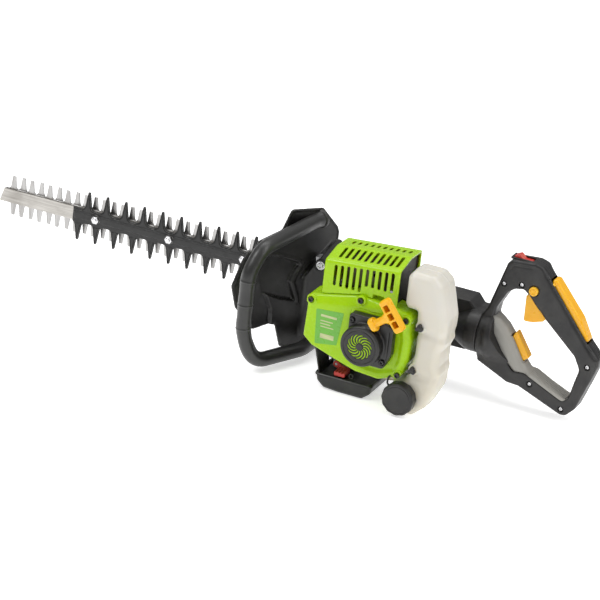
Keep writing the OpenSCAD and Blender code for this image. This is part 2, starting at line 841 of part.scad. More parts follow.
module pull_handle() {
    color(yellow) translate(rope_start + pull_dir * 76) rotate([0, pull_angle, 0]) difference() {
        intersection() {
            union() {
                translate([-29, -8, -8.5]) cube([58, 16, 17]);
                translate([-13, -8, -12]) cube([26, 16, 6]);
                translate([0, 0, -41]) cylinder(h = 12, r = 8);
                translate([0, 0, -30]) cylinder(h = 22, r = 6);
            }
            translate([0, 0, -50]) cylinder(h = 70, r = 29);
        }
        for (x = [-21, -6.5, 8]) translate([x, -9, -4.5]) cube([13, 18, 9]);
        translate([0, 0, -50]) cylinder(h = 47, r = 1.65);
    }
}

// ---- fuel -------------------------------------------------------------------------------

tank_corners = [[51, 74, 6], [56, 67, 4], [73, 66, 4], [74, 48, 5], [77, 26, 8], [77, -8, 12],
    [70, -36, 10], [66, -52, 6], [46, -61, 4], [38, -100, 8], [50, -stand_h, 8], [84, -stand_h, 12],
    [104, -96, 16], [119, -64, 16], [124, -34, 8], [120, -20, 8], [120, 6, 8], [126, 20, 10],
    [126, 60, 16], [112, 117, 16], [96, 130, 14], [58, 130, 10], [51, 120, 10]];
tank_knob_at = [[84, 43], [80, -32]];

module fuel_tank() {
    color(cream) difference() {
        union() {
            prism(rounded(tank_corners), tank_y0, tank_y1);
            y_rod(cap_x, cap_z, tank_y0 - 7, tank_y0 + 1, 17);
        }
        prism(rounded(inset(tank_corners, tank_wall)), tank_y0 + tank_wall, tank_y1 - tank_wall);
        y_rod(cap_x, cap_z, tank_y0 - 8, tank_y0 + 5, 14);
        for (p = tank_knob_at) y_rod(p[0], p[1], tank_y0 - 1, tank_y0 + 1.5, 3);
    }
}

module tank_knobs() {
    color(black) for (p = tank_knob_at) {
        for (a = [90, 210, 330])
            y_rod(p[0] + 3.4 * cos(a), p[1] + 3.4 * sin(a), tank_y0 - 8, tank_y0 - 1, 3.4);
        y_rod(p[0], p[1], tank_y0 - 8.5, tank_y0 + 1.5, 3);
    }
}

module fuel_cap() {
    color(black) translate([cap_x, 0, cap_z]) difference() {
        union() {
            y_rod(0, 0, -198, -178.6, 26);
            for (a = [0:30:330]) y_rod(19.4 * cos(a), 19.4 * sin(a), -197, -179, 8.2);
        }
        y_rod(0, 0, -195, -170, 17.4);
    }
}

module cap_gasket() {
    color(dark) translate([cap_x, 0, cap_z]) difference() {
        y_rod(0, 0, -187.6, -185.3, 17);
        y_rod(0, 0, -190, -180, 11);
    }
}

module fuel_lines() {
    color([0.8, 0.8, 0.74]) {
        tube(bent([[44, -132, -72], [22, -134, -78], [-12, -134, -82], [-32, -126, -70], [-43, -112, -66]],
            [8, 8, 6], 4), 2.2, 8);
        tube(bent([[43, -124, -80], [18, -124, -85], [-12, -120, -83], [-32, -108, -78], [-43, -98, -76]],
            [8, 8, 5], 4), 2.2, 8);
    }
}

// ---- front handle and shield ------------------------------------------------------------

front_path = [[-172, -12, 112], [-204, -168, 100], [-214, -192, 62], [-214, -192, -46], [-196, -178, -94],
    [-152, -84, -93], [-150, flange_y, -93]];
front_bends = [19, 19, 26, 26, 10];
// The hollow of the tube, closed off just inside its two ends.
front_core = concat([[-172.8, -15.9, 111.7]], [for (i = [1:5]) front_path[i]], [[-150.3, flange_y - 4, -93]]);
module front_handle() {
    color(black) difference() {
        tube(bent(front_path, front_bends, 7), front_tube_r, 16);
        tube(bent(front_core, front_bends, 7), front_tube_r - grip_wall, 16);
    }
}

// The shield leans back: its outline is given along the plate and up, and its plate stands at
// the lean angle to the Y axis.
lean = 30;
shield_corners = [[-74, 136, 8], [-10, 130, 8], [24, 92, 5], [28, 82, 3], [28, -70, 6],
    [12, -stand_h, 4], [-60, -stand_h, 5], [-72, -108, 5], [-86, -66, 6], [-129, -70, 8], [-168, -24, 14],
    [-179, 16, 14], [-158, 60, 14], [-135, 90, 12], [-90, 103, 6]];
// Upright flange, given as X and Z, that meets the leaning plate along its left edge.
flange_corners = [[-185, 6, 3], [-186, -60, 6], [-178, -98, 6], [-166, -107, 6], [-134, -107, 6],
    [-118, -60, 6], [-118, 70, 6], [-124, 92, 5], [-134, 90, 4]];
module shield_plate(outline, t) {
    translate([-167.2, 0, 0]) rotate([0, 0, -lean]) rotate([0, 0, 90]) rotate([90, 0, 0])
        linear_extrude(t) polygon(outline);
}
module hand_shield() {
    color(black) difference() {
        union() {
            shield_plate(rounded(shield_corners), 3.2);
            prism(rounded(flange_corners), flange_y, flange_y + 3.5);
        }
        // window for the blade
        block(-190, -150.5, -3, 14.5, -22, 22);
        for (z = shield_bolt_z) y_rod(shield_bolt_x, z, flange_y - 2, flange_y + 5, 3.05);
    }
}

module shield_bolts() {
    color(steel) {
        for (z = shield_bolt_z) difference() {
            union() {
                y_rod(shield_bolt_x, z, flange_y - 1.6, flange_y, 7.5);
                y_rod(shield_bolt_x, z, flange_y - 5, flange_y - 1.5, 5);
                y_rod(shield_bolt_x, z, flange_y - 1, -14, 3);
            }
            hexagon(shield_bolt_x, z, flange_y - 6, flange_y - 3, 4);
        }
    }
}

// ---- rear frame and handle --------------------------------------------------------------

frame_corners = [[60, -38, 3], [112, -38, 5], [122, -35, 4], [swivel_x, -34, 0], [swivel_x, 34, 0],
    [124, 34, 4], [112, 48, 5], [60, 48, 3]];
module rear_frame() {
    color(black) difference() {
        union() {
            prism(rounded(frame_corners), -38, 8);
            x_rod(mid_y, 0, 98, swivel_x, 35);
            block(60, 66, -38, 8, -46, 56);
        }
        block(68, 96, -35, 5, -34, 44);
        x_rod(mid_y, 0, 94, 110, 27);
        x_rod(mid_y, 0, 108, swivel_x + 1, spigot_r + run_gap);
    }
}

module swivel_spigot() {
    color(alloy) difference() {
        union() {
            x_rod(mid_y, 0, 104, 150, spigot_r);
            x_rod(mid_y, 0, 102, 109.6, 22);
            x_rod(mid_y, 0, 143.3, 149, 23);
        }
        x_rod(mid_y, 0, 90, 160, 9);
    }
}

grip_corners = [[139.6, -36, 0], [141, -44, 4], [196, -69, 12], [216, -70, 12], [292, -100, 12],
    [302, -99, 8], [316, -84, 12], [344, -4, 8], [344, 9, 10], [324, 30, 20], [247.5, 124, 6],
    [233, 141, 8],
    [218, 145, 10], [179, 142, 5], [171.5, 134, 5], [148, 52, 10], [139.6, 36, 0]];
loop_corners = [[160, 34, 14], [162.5, 10, 14], [179, -17, 14], [204, -46, 10], [224, -43, 12],
    [294, -74.5, 8], [303, -64, 10], [313, -16.5, 16], [302, 4.5, 14], [245, 54.5, 20], [215, 88.5, 10],
    [204, 96.5, 8], [189.5, 93.5, 10], [178, 85, 12], [163, 55, 12]];
grip_screw_at = [[170, 98.5], [200, 104], [327, -6.5], [235, -61], [293, -89.5]];
button_corners = [[158, 38, 4], [176, 26, 8], [190, 8, 8], [214, -30, 6], [226, -44, 2], [204, -52, 2],
    [176, -20, 2], [158, 8, 2]];

module grip_solid(y0, y1) {
    intersection() {
        union() {
            prism(rounded(grip_corners), y0, y1);
            x_rod(mid_y, 0, 139.6, 168, hub_r);
        }
        block(130, 360, y0 == mid_y ? mid_y : -90, y0 == mid_y ? 30 : mid_y, -200, 200);
    }
}

module handle_shell(y0, y1, in0, in1) {
    difference() {
        union() {
            difference() {
                grip_solid(y0, y1);
                prism(rounded(loop_corners), -80, 20);
                prism(rounded(inset(grip_corners, grip_wall)), in0, in1);
            }
            intersection() {
                difference() {
                    prism(rounded(inset(loop_corners, -grip_wall)), y0, y1);
                    prism(rounded(loop_corners), -80, 20);
                }
                prism(rounded(grip_corners), y0, y1);
            }
            intersection() {
                prism(rounded(button_corners), mid_y - 12, mid_y + 12);
                block(130, 360, y0, y1, -200, 200);
            }
            for (p = grip_screw_at) y_rod(p[0], p[1], y0 + 1, y1 - 1, 5);
            for (p = [trigger_pivot, lever_pivot]) y_rod(p[0], p[1], y0 + 1, y1 - 1, 5);
        }
        // openings for the controls
        for (p = [trigger_pivot, lever_pivot]) y_rod(p[0], p[1], mid_y - 15, mid_y + 15, 2.56);
        y_rod(trigger_pivot[0], trigger_pivot[1], mid_y - 8, mid_y + 8, 6);
        y_rod(switch_pivot[0], switch_pivot[1], mid_y - 10, mid_y + 10, 2.06);
        prism([[214, 104], [196, 86], [248, 38], [264, 60]], mid_y - 8, mid_y + 8);
        prism([[238, 112], [312, 20], [336, 40], [252, 140]], mid_y - 12, mid_y + 12);
        block(174, 213, mid_y - 8, mid_y + 8, 130, 160);
        prism([[186, -2], [196, 26], [232, -22], [214, -36], [200, -24]], mid_y - 8, mid_y + 8);
        y_rod(hold_at[0], hold_at[1], -60, -45, hold_r + 0.3);
        // swivel spigot seat
        x_rod(mid_y, 0, 135, 175, spigot_r + 0.05);
        x_rod(mid_y, 0, 143.2, 149.1, 23.1);
        x_rod(mid_y, 0, 149, 166, 15);
        for (p = grip_screw_at) y_rod(p[0], p[1], -80, 20, 2.1);
        for (p = grip_screw_at) y_rod(p[0], p[1], -80, -48.2, 4.4);
    }
}
module handle_shell_left() {
    color(black) handle_shell(mid_y - grip_w / 2, mid_y, mid_y - grip_w / 2 + grip_wall, mid_y);
}
module handle_shell_right() {
    color(black) handle_shell(mid_y, mid_y + grip_w / 2, mid_y, mid_y + grip_w / 2 - grip_wall);
}

module pivot_pin(p) {
    y_rod(p[0], p[1], mid_y - 14, mid_y + 14, 2.5);
}

module trigger() {
    color(yellow) {
        prism(rounded([[206, 82, 3], [207, 38.5, 4], [224, 40.5, 10], [240, 46, 4], [254, 66, 5],
            [238, 97, 5], [216, 98, 5]]), mid_y - 6.5, mid_y + 6.5);
        pivot_pin(trigger_pivot);
    }
}

module palm_lever() {
    color(yellow) {
        prism(rounded([[245, 112, 3], [250, 105, 3], [300, 52, 6], [313, 32, 3], [322, 34, 3],
            [304, 68, 30], [256, 124, 6], [250, 124, 3]]), mid_y - 11, mid_y + 11);
        pivot_pin(lever_pivot);
    }
}

module hold_button() {
    color(yellow) {
        y_rod(hold_at[0], hold_at[1], -56.5, -51.5, hold_r);
    }
}

module lock_button() {
    color(yellow) prism(rounded([[189, 0, 2], [199, 20, 3], [226, -21, 3], [214, -30, 2]]),
        mid_y - 7.5, mid_y + 7.5);
}

module stop_switch() {
    color(red) {
        prism(rounded([[178, 136, 1], [208, 136, 1], [209, 142, 2], [195, 142, 3], [187, 150, 2],
            [178, 146, 2]]), mid_y - 7, mid_y + 7);
        y_rod(switch_pivot[0], switch_pivot[1], mid_y - 9.5, mid_y + 9.5, 2);
    }
}

module handle_screws() {
    color(steel) for (p = grip_screw_at) screw(p[0], p[1], -52.4, 30, 2);
}

// ---- placing ----------------------------------------------------------------------------

module place() {
    translate([origin_x, origin_y, stand_h]) children();
}

place() guide_bar();
place() tooth_guard();
place() blade_front();
place() blade_back();
place() blade_bolts();
place() gear_case();
place() gear_case_cover();
place() gear_axle();
place() shaft_bearings();
place() drive_gear();
place() clutch_drum();
place() clutch_shoes();
place() clutch_spring();
place() crankcase_front();
place() crankcase_rear();
place() crankshaft();
place() connecting_rod();
place() piston();
place() cylinder_body();  // cylinder
place() spark_plug();
place() plug_boot();
place() flywheel();
place() ignition_coil();
place() muffler();
place() heat_shield();
place() muffler_cover();
place() inlet_spacer();
place() carburettor();
place() choke_lever();
place() primer_bulb();
place() filter_base();
place() filter_foam();
place() filter_cover();
place() fan_cover();
place() shroud_plate();
place() housing_screws();
place() starter_housing();
place() vent_disc();
place() starter_reel();
place() recoil_spring();
place() starter_rope();
place() pull_handle();
place() fuel_tank();
place() tank_knobs();
place() fuel_cap();
place() cap_gasket();
place() fuel_lines();
place() front_handle();
place() hand_shield();
place() shield_bolts();
place() rear_frame();
place() handle_shell_left();
place() handle_shell_right();
place() swivel_spigot();
place() trigger();
place() palm_lever();
place() hold_button();
place() lock_button();
place() stop_switch();
place() handle_screws();
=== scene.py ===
import functools
import math

import bpy
import numpy as np
from mathutils import Matrix, Vector
from mathutils.geometry import tessellate_polygon


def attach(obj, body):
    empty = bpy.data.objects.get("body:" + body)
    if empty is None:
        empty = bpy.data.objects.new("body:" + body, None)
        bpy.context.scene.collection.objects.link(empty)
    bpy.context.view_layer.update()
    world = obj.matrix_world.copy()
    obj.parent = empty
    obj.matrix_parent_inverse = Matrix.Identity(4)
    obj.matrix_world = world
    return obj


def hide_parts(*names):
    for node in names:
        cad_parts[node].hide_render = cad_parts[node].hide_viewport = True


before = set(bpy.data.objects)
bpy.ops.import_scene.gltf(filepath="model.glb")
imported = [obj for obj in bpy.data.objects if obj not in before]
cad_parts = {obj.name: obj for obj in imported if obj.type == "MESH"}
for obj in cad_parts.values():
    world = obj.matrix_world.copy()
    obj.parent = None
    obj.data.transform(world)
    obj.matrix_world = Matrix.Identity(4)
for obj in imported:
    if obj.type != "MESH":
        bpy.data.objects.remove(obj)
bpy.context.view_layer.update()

# The machine's own axes, in millimetres: X along the blade towards the rear handle, Y from the
# starter to the blade side, Z up, from the crank axis. This is that point in the row frame.
AXES = np.array([215.32, 96.876, 114.0])
FLOOR_Z = -114


def to_frame(points):
    """Points on the machine's axes in millimetres, as metres in the row frame."""
    return (np.asarray(points, float) + AXES) / 1000


# ---- materials ---------------------------------------------------------------------------


def linear(red, green, blue):
    """A screen colour of 0 to 255, as the linear colour that a shader takes."""
    shares = [c / 255 for c in (red, green, blue)]
    return [((c + 0.055) / 1.055) ** 2.4 if c > 0.04 else c / 12.92 for c in shares] + [1.0]


class Finish:
    """A material built up in layers on one Principled shader."""

    def __init__(self, name, colour, roughness, metallic=0.0, **sockets):
        self.made = bpy.data.materials.new(name)
        self.made.use_nodes = True
        self.tree = self.made.node_tree
        self.shader = self.tree.nodes["Principled BSDF"]
        self.colour = linear(*colour)
        self.shader.inputs["Base Color"].default_value = self.colour
        self.shader.inputs["Roughness"].default_value = roughness
        self.shader.inputs["Metallic"].default_value = metallic
        for socket, value in sockets.items():
            self.shader.inputs[socket.replace("_", " ")].default_value = value
        self.place = self.tree.nodes.new("ShaderNodeTexCoord").outputs["Object"]
        self.painted = None
        self.normal = None

    def link(self, a, b):
        self.tree.links.new(a, b)

    def noise(self, scale, detail=3.0, stretch=(1, 1, 1)):
        """Noise from 0 to 1 with about scale bumps to the metre."""
        mapping = self.tree.nodes.new("ShaderNodeMapping")
        mapping.inputs["Scale"].default_value = stretch
        self.link(self.place, mapping.inputs["Vector"])
        node = self.tree.nodes.new("ShaderNodeTexNoise")
        node.inputs["Scale"].default_value = scale
        node.inputs["Detail"].default_value = detail
        self.link(mapping.outputs["Vector"], node.inputs["Vector"])
        return node.outputs["Fac"]

    def cells(self, scale):
        node = self.tree.nodes.new("ShaderNodeTexVoronoi")
        node.inputs["Scale"].default_value = scale
        self.link(self.place, node.inputs["Vector"])
        return node.outputs["Distance"]

    def edges(self):
        """How convex the surface is, 0.5 where it is flat."""
        return self.tree.nodes.new("ShaderNodeNewGeometry").outputs["Pointiness"]

    def facing(self, axis):
        """How far the surface faces along an axis of the object, from -1 to 1."""
        geometry = self.tree.nodes.new("ShaderNodeNewGeometry")
        split = self.tree.nodes.new("ShaderNodeSeparateXYZ")
        self.link(geometry.outputs["Normal"], split.inputs["Vector"])
        return split.outputs[axis]

    def span(self, value, low, high, to_low=0.0, to_high=1.0):
        """value from low to high, spread over to_low to to_high and kept within them."""
        node = self.tree.nodes.new("ShaderNodeMapRange")
        for k, number in enumerate((low, high, to_low, to_high)):
            node.inputs[k + 1].default_value = number
        self.link(value, node.inputs[0])
        return node.outputs[0]

    def times(self, a, b):
        node = self.tree.nodes.new("ShaderNodeMath")
        node.operation = "MULTIPLY"
        self.link(a, node.inputs[0])
        self.link(b, node.inputs[1])
        return node.outputs[0]

    def tint(self, value, colour):
        """Turns the base colour towards another one by value."""
        node = self.tree.nodes.new("ShaderNodeMix")
        node.data_type = "RGBA"
        self.link(value, node.inputs[0])
        if self.painted is None:
            node.inputs[6].default_value = self.colour
        else:
            self.link(self.painted, node.inputs[6])
        node.inputs[7].default_value = linear(*colour)
        self.painted = node.outputs[2]
        self.link(self.painted, self.shader.inputs["Base Color"])
        return self

    def gloss(self, value):
        self.link(value, self.shader.inputs["Roughness"])
        return self

    def relief(self, value, depth):
        """Raises the surface by value times depth, in metres, in its shading."""
        node = self.tree.nodes.new("ShaderNodeBump")
        node.inputs["Distance"].default_value = depth
        self.link(value, node.inputs["Height"])
        if self.normal is not None:
            self.link(self.normal, node.inputs["Normal"])
        self.normal = node.outputs["Normal"]
        self.link(self.normal, self.shader.inputs["Normal"])
        return self


def moulded(name, colour, roughness, grain=0.00005, dust=(84, 82, 77), dusting=0.22, **sockets):
    """Black or coloured plastic from a spark-eroded mould: fine grain, uneven gloss, light dust."""
    f = Finish(name, colour, roughness, **sockets)
    f.tint(f.span(f.noise(28, 4), 0.35, 0.75, 0, 0.16), dust)
    f.tint(f.times(f.span(f.facing("Z"), 0.35, 1.0, 0, dusting), f.span(f.noise(60, 5), 0.35, 0.7)), dust)
    f.tint(f.span(f.edges(), 0.53, 0.62, 0, 0.3), dust)
    f.gloss(f.span(f.noise(90, 4), 0.3, 0.7, roughness - 0.07, roughness + 0.09))
    f.relief(f.noise(2200, 2), grain)
    f.relief(f.noise(160, 2), grain * 1.5)
    return f.made


def glossy(name, colour, deep, pale, roughness, **sockets):
    """Bright injection-moulded plastic: a soft change of tone, faint flow marks and hairline scuffs."""
    f = Finish(name, colour, roughness, **sockets)
    f.tint(f.span(f.noise(9, 3), 0.35, 0.7, 0, 0.35), deep)
    f.tint(f.span(f.edges(), 0.52, 0.6, 0, 0.45), pale)
    scuffs = f.span(f.noise(55, 6, (1, 1, 9)), 0.62, 0.74)
    f.tint(f.times(scuffs, f.span(f.noise(12, 2), 0.45, 0.65, 0, 0.25)), pale)
    f.gloss(f.span(f.noise(130, 5), 0.3, 0.72, roughness - 0.05, roughness + 0.1))
    f.relief(f.noise(420, 2), 0.000035)
    f.relief(f.noise(3000, 1), 0.00001)
    return f.made


def ground_steel(name, colour, roughness, stretch, grime=(92, 86, 78)):
    """Steel with grinding lines along the direction in which the noise is stretched least."""
    f = Finish(name, colour, roughness, 1.0)
    lines = f.noise(600, 3, stretch)
    f.tint(f.span(lines, 0.3, 0.7, 0, 0.35), grime)
    f.tint(f.span(f.noise(22, 5), 0.5, 0.8, 0, 0.45), grime)
    f.gloss(f.span(lines, 0.25, 0.75, roughness - 0.08, roughness + 0.12))
    f.relief(lines, 0.00003)
    return f.made


def coated_steel():
    """The tooth guard: satin black coating, rubbed to bare steel along its edges."""
    f = Finish("guard_black", (20, 20, 20), 0.4, Specular_IOR_Level=0.5)
    f.tint(f.span(f.noise(35, 5), 0.4, 0.75, 0, 0.3), (40, 38, 37))
    rubbed = f.times(f.span(f.edges(), 0.54, 0.6), f.span(f.noise(180, 4), 0.42, 0.6))
    f.tint(rubbed, (150, 148, 144))
    f.gloss(f.span(f.noise(120, 4), 0.3, 0.7, 0.34, 0.52))
    f.relief(f.noise(900, 3), 0.00005)
    return f.made


def cast_metal(name, colour, roughness):
    """Cast aluminium: grainy, with dull stains."""
    f = Finish(name, colour, roughness, 0.9)
    f.tint(f.span(f.noise(40, 5), 0.45, 0.75, 0, 0.4), (112, 110, 108))
    f.tint(f.span(f.edges(), 0.53, 0.6, 0, 0.4), (205, 205, 206))
    f.gloss(f.span(f.noise(300, 4), 0.3, 0.7, roughness - 0.1, roughness + 0.12))
    f.relief(f.noise(1300, 4), 0.00012)
    return f.made


def tank_plastic():
    """Blown natural polyethylene: milky, with soft ripples, and painted shade that darkens it low down."""
    f = Finish("tank_plastic", (206, 203, 194), 0.34, Subsurface_Weight=0.35,
               Subsurface_Radius=(0.016, 0.013, 0.008), Subsurface_Scale=0.7, Coat_Weight=0.1)
    f.tint(f.span(f.noise(14, 3), 0.35, 0.7, 0, 0.5), (196, 191, 178))
    # Painted shade: the tank turns darker and warmer towards its bottom, by height alone.
    split = f.tree.nodes.new("ShaderNodeSeparateXYZ")
    f.link(f.place, split.inputs["Vector"])
    f.tint(f.span(split.outputs["Z"], 0.19, 0.03, 0, 0.5), (196, 188, 166))
    f.gloss(f.span(f.noise(70, 4), 0.3, 0.7, 0.3, 0.46))
    f.relief(f.noise(45, 2), 0.0004)
    f.relief(f.noise(900, 2), 0.00003)
    return f.made


def soft_grip():
    """The loop handle's rubber sleeve: dull, with a fine leathery grain."""
    f = Finish("grip_rubber", (21, 21, 20), 0.34, Specular_IOR_Level=0.6, Sheen_Weight=0.05)
    f.tint(f.span(f.noise(30, 4), 0.4, 0.75, 0, 0.2), (60, 59, 56))
    f.gloss(f.span(f.noise(80, 4), 0.3, 0.7, 0.3, 0.42))
    f.relief(f.cells(900), 0.00003)
    f.relief(f.noise(2400, 2), 0.00003)
    return f.made


def exhaust_steel():
    f = Finish("muffler_steel", (132, 122, 112), 0.45, 0.95)
    f.tint(f.span(f.noise(25, 5), 0.4, 0.7, 0, 0.7), (96, 78, 60))
    f.gloss(f.span(f.noise(200, 5), 0.3, 0.7, 0.35, 0.6))
    f.relief(f.noise(700, 4), 0.0001)
    return f.made


def hose():
    f = Finish("clear_hose", (226, 216, 186), 0.24, Transmission_Weight=0.45, IOR=1.45)
    f.tint(f.span(f.noise(80, 3), 0.4, 0.7, 0, 0.5), (206, 188, 140))
    f.relief(f.noise(700, 2), 0.00003)
    return f.made


def open_foam():
    f = Finish("foam", (80, 84, 80), 0.9)
    f.tint(f.span(f.cells(700), 0.1, 0.5), (40, 42, 40))
    f.relief(f.cells(700), 0.0006)
    return f.made


def twisted_rope():
    f = Finish("rope", (205, 205, 200), 0.8)
    f.tint(f.span(f.noise(800, 3, (1, 1, 4)), 0.4, 0.7), (110, 110, 108))
    f.relief(f.noise(900, 3, (1, 1, 4)), 0.0003)
    return f.made


def sticker_film():
    """A plain printed sheet in a deeper green, without any lettering."""
    f = Finish("sticker_green", (84, 160, 16), 0.3, Coat_Weight=0.4, Coat_Roughness=0.1)
    f.tint(f.span(f.noise(18, 3), 0.35, 0.7, 0, 0.5), (104, 178, 22))
    f.gloss(f.span(f.noise(140, 4), 0.3, 0.7, 0.24, 0.4))
    f.relief(f.noise(500, 2), 0.00003)
    return f.made


GREEN, DEEP_GREEN, PALE_GREEN = (154, 196, 3), (136, 182, 3), (188, 220, 70)
FINISHES = {
    "bar_steel": ground_steel("bar_steel", (186, 183, 178), 0.36, (0.03, 1, 1)),
    "blade_steel": ground_steel("blade_steel", (178, 177, 176), 0.34, (1, 1, 0.05), (128, 124, 120)),
    "guard_black": coated_steel(),
    "bolt_steel": ground_steel("bolt_steel", (222, 222, 224), 0.2, (1, 1, 1), (150, 148, 146)),
    "cast_alloy": cast_metal("cast_alloy", (176, 177, 180), 0.5),
    "cover_steel": ground_steel("cover_steel", (92, 92, 94), 0.42, (0.2, 1, 1), (60, 58, 56)),
    "machined_steel": ground_steel("machined_steel", (186, 187, 190), 0.3, (1, 1, 0.3)),
    "muffler_steel": exhaust_steel(),
    "shield_plate": ground_steel("heat_plate", (70, 68, 66), 0.5, (1, 1, 0.4), (48, 44, 40)),
    "rubber_black": moulded("rubber_black", (26, 26, 26), 0.62),
    "grip_rubber": soft_grip(),
    "moulded_black": moulded("moulded_black", (11, 10, 10), 0.36, dusting=0.04),
    "handle_black": moulded("handle_black", (15, 14, 15), 0.4, grain=0.00008, dusting=0.06),
    "black_screw": moulded("black_screw", (26, 26, 27), 0.34, dusting=0.05),
    "green_plastic": glossy("green_plastic", GREEN, DEEP_GREEN, PALE_GREEN, 0.24,
                            Coat_Weight=0.22, Coat_Roughness=0.1, Specular_IOR_Level=0.2,
                            Subsurface_Weight=0.04),
    "orange_plastic": glossy("orange_plastic", (234, 172, 8), (218, 150, 3), (244, 206, 100), 0.3,
                             Subsurface_Weight=0.08),
    "red_plastic": glossy("red_plastic", (192, 42, 30), (150, 22, 16), (232, 120, 100), 0.26,
                          Coat_Weight=0.3),
    "red_rubber": moulded("red_rubber", (170, 30, 24), 0.5, dust=(200, 110, 100)),
    "pale_print": moulded("pale_print", (206, 214, 150), 0.4, dusting=0.05),
    "soft_insert": moulded("soft_insert", (146, 144, 138), 0.4, grain=0.00009, dust=(150, 146, 136)),
    "foam": open_foam(),
    "rope": twisted_rope(),
    "tank_plastic": tank_plastic(),
    "clear_hose": hose(),
}
NODE_SLOTS = {
    "bar_steel": ["guide_bar"],
    "blade_steel": ["blade_front", "blade_back"],
    "guard_black": ["tooth_guard"],
    "bolt_steel": ["blade_bolts", "shield_bolts", "handle_screws", "spark_plug"],
    "cast_alloy": ["gear_case", "crankcase_front", "crankcase_rear", "cylinder", "piston",
                   "carburettor", "swivel_spigot", "flywheel", "connecting_rod"],
    "cover_steel": ["gear_case_cover"],
    "machined_steel": ["gear_axle", "shaft_bearings", "drive_gear", "clutch_drum", "clutch_shoes",
                       "clutch_spring", "crankshaft", "recoil_spring"],
    "muffler_steel": ["muffler"],
    "shield_plate": ["heat_shield"],
    "rubber_black": ["plug_boot", "cap_gasket"],
    "grip_rubber": ["front_handle"],
    "moulded_black": ["shroud_plate", "starter_housing", "starter_reel", "ignition_coil",
                      "inlet_spacer", "filter_base", "filter_cover", "tank_knobs", "fuel_cap",
                      "hand_shield"],
    "handle_black": ["rear_frame", "handle_shell_left", "handle_shell_right"],
    "black_screw": ["housing_screws"],
    "green_plastic": ["fan_cover", "muffler_cover", "vent_disc"],
    "orange_plastic": ["pull_handle", "trigger", "palm_lever", "hold_button", "lock_button"],
    "red_plastic": ["stop_switch"],
    "red_rubber": ["choke_lever", "primer_bulb"],
    "foam": ["filter_foam"],
    "rope": ["starter_rope"],
    "tank_plastic": ["fuel_tank"],
    "clear_hose": ["fuel_lines"],
}


def dress_nodes():
    """Gives every CAD node its finish, and softens the edges of those that stay on show."""
    for slot, names in NODE_SLOTS.items():
        for name in names:
            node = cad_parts[name]
            node.data.materials.clear()
            node.data.materials.append(FINISHES[slot])
            merged = node.modifiers.new("merge", "WELD")
            merged.merge_threshold = 0.00002
            flat = node.modifiers.new("flat", "DECIMATE")
            flat.decimate_type = "DISSOLVE"
            flat.angle_limit = math.radians(1.5)
            edge = node.modifiers.new("edge", "BEVEL")
            edge.width = 0.0005
            edge.segments = 2
            edge.limit_method = "ANGLE"
            edge.angle_limit = math.radians(32)


# ---- shapes as distance fields -------------------------------------------------------------
# A field takes x, y and z and says how far each point is from a surface, less than 0 inside it.


def rounded(corners, steps=6):
    """Corners given as (x, z, radius), turned into an outline with round corners."""
    out = []
    for i, (x, z, r) in enumerate(corners):
        corner = np.array([x, z], float)
        before = np.array(corners[i - 1][:2], float) - corner
        after = np.array(corners[(i + 1) % len(corners)][:2], float) - corner
        one, two = np.linalg.norm(before), np.linalg.norm(after)
        half = math.acos(np.clip(before @ after / one / two, -1, 1)) / 2
        if r <= 0 or half > math.radians(88):
            out.append(corner)
            continue
        cut = min(r / math.tan(half), 0.49 * one, 0.49 * two)
        start, end = corner + before / one * cut, corner + after / two * cut
        for t in np.linspace(0, 1, steps + 1):
            out.append((1 - t) ** 2 * start + 2 * t * (1 - t) * corner + t * t * end)
    return np.array(out)


def box_outline(at_x, half_x, at_z, half_z, radius, steps):
    """A rectangle around a point, with round corners."""
    signs = ((-1, -1), (1, -1), (1, 1), (-1, 1))
    return rounded([(at_x + a * half_x, at_z + b * half_z, radius) for a, b in signs], steps)


def from_path(points, u, v):
    """Distance in a plane to an open line of points."""
    points = np.asarray(points, float)
    best = np.inf
    for (ax, ay), (bx, by) in zip(points[:-1], points[1:]):
        ex, ey, wx, wy = bx - ax, by - ay, u - ax, v - ay
        t = np.clip((wx * ex + wy * ey) / (ex * ex + ey * ey), 0, 1)
        best = np.minimum(best, (wx - ex * t) ** 2 + (wy - ey * t) ** 2)
    return np.sqrt(best)


def within(points, u, v):
    """Distance in a plane to a closed outline, less than 0 inside it."""
    points = np.asarray(points, float)
    u, v = np.broadcast_arrays(np.asarray(u, float), np.asarray(v, float))
    inside = np.zeros(u.shape, bool)
    for (ax, ay), (bx, by) in zip(points, np.roll(points, -1, 0)):
        if ay != by:
            inside ^= ((ay > v) != (by > v)) & (u < (bx - ax) * (v - ay) / (by - ay) + ax)
    return np.where(inside, -1, 1) * from_path(np.concatenate([points, points[:1]]), u, v)


def band(t, low, high):
    """Distance to the space between two planes across one axis."""
    return np.abs(t - (low + high) / 2) - (high - low) / 2


def ring(u, v, at_u, at_v, radius):
    """Distance to a round bar along the third axis."""
    return np.hypot(u - at_u, v - at_v) - radius


def both(a, b, r=0.0):
    """What is in both shapes, with the edge between them rounded to radius r."""
    outer = np.hypot(np.maximum(a + r, 0), np.maximum(b + r, 0))
    return outer + np.minimum(np.maximum(a + r, b + r), 0) - r


def either(a, b, r=0.0):
    """Both shapes together, with a fillet of radius r where they meet."""
    return -both(-a, -b, r)


def without(a, b, r=0.0):
    """The first shape less the second, with rounded edges."""
    return both(a, -b, r)


def hexagon(u, v, half):
    """Distance to a six-sided bar around the third axis, half as wide as its flats are apart."""
    a, b = np.abs(u), np.abs(v)
    return np.maximum(a * 0.866 + b * 0.5, b) - half


def meet(*shapes):
    """What is in all of the shapes, with sharp edges."""
    return functools.reduce(np.maximum, shapes)


def smooth(t):
    """0 to 1 for t from 0 to 1, levelling off at both ends."""
    t = np.clip(t, 0, 1)
    return t * t * (3 - 2 * t)


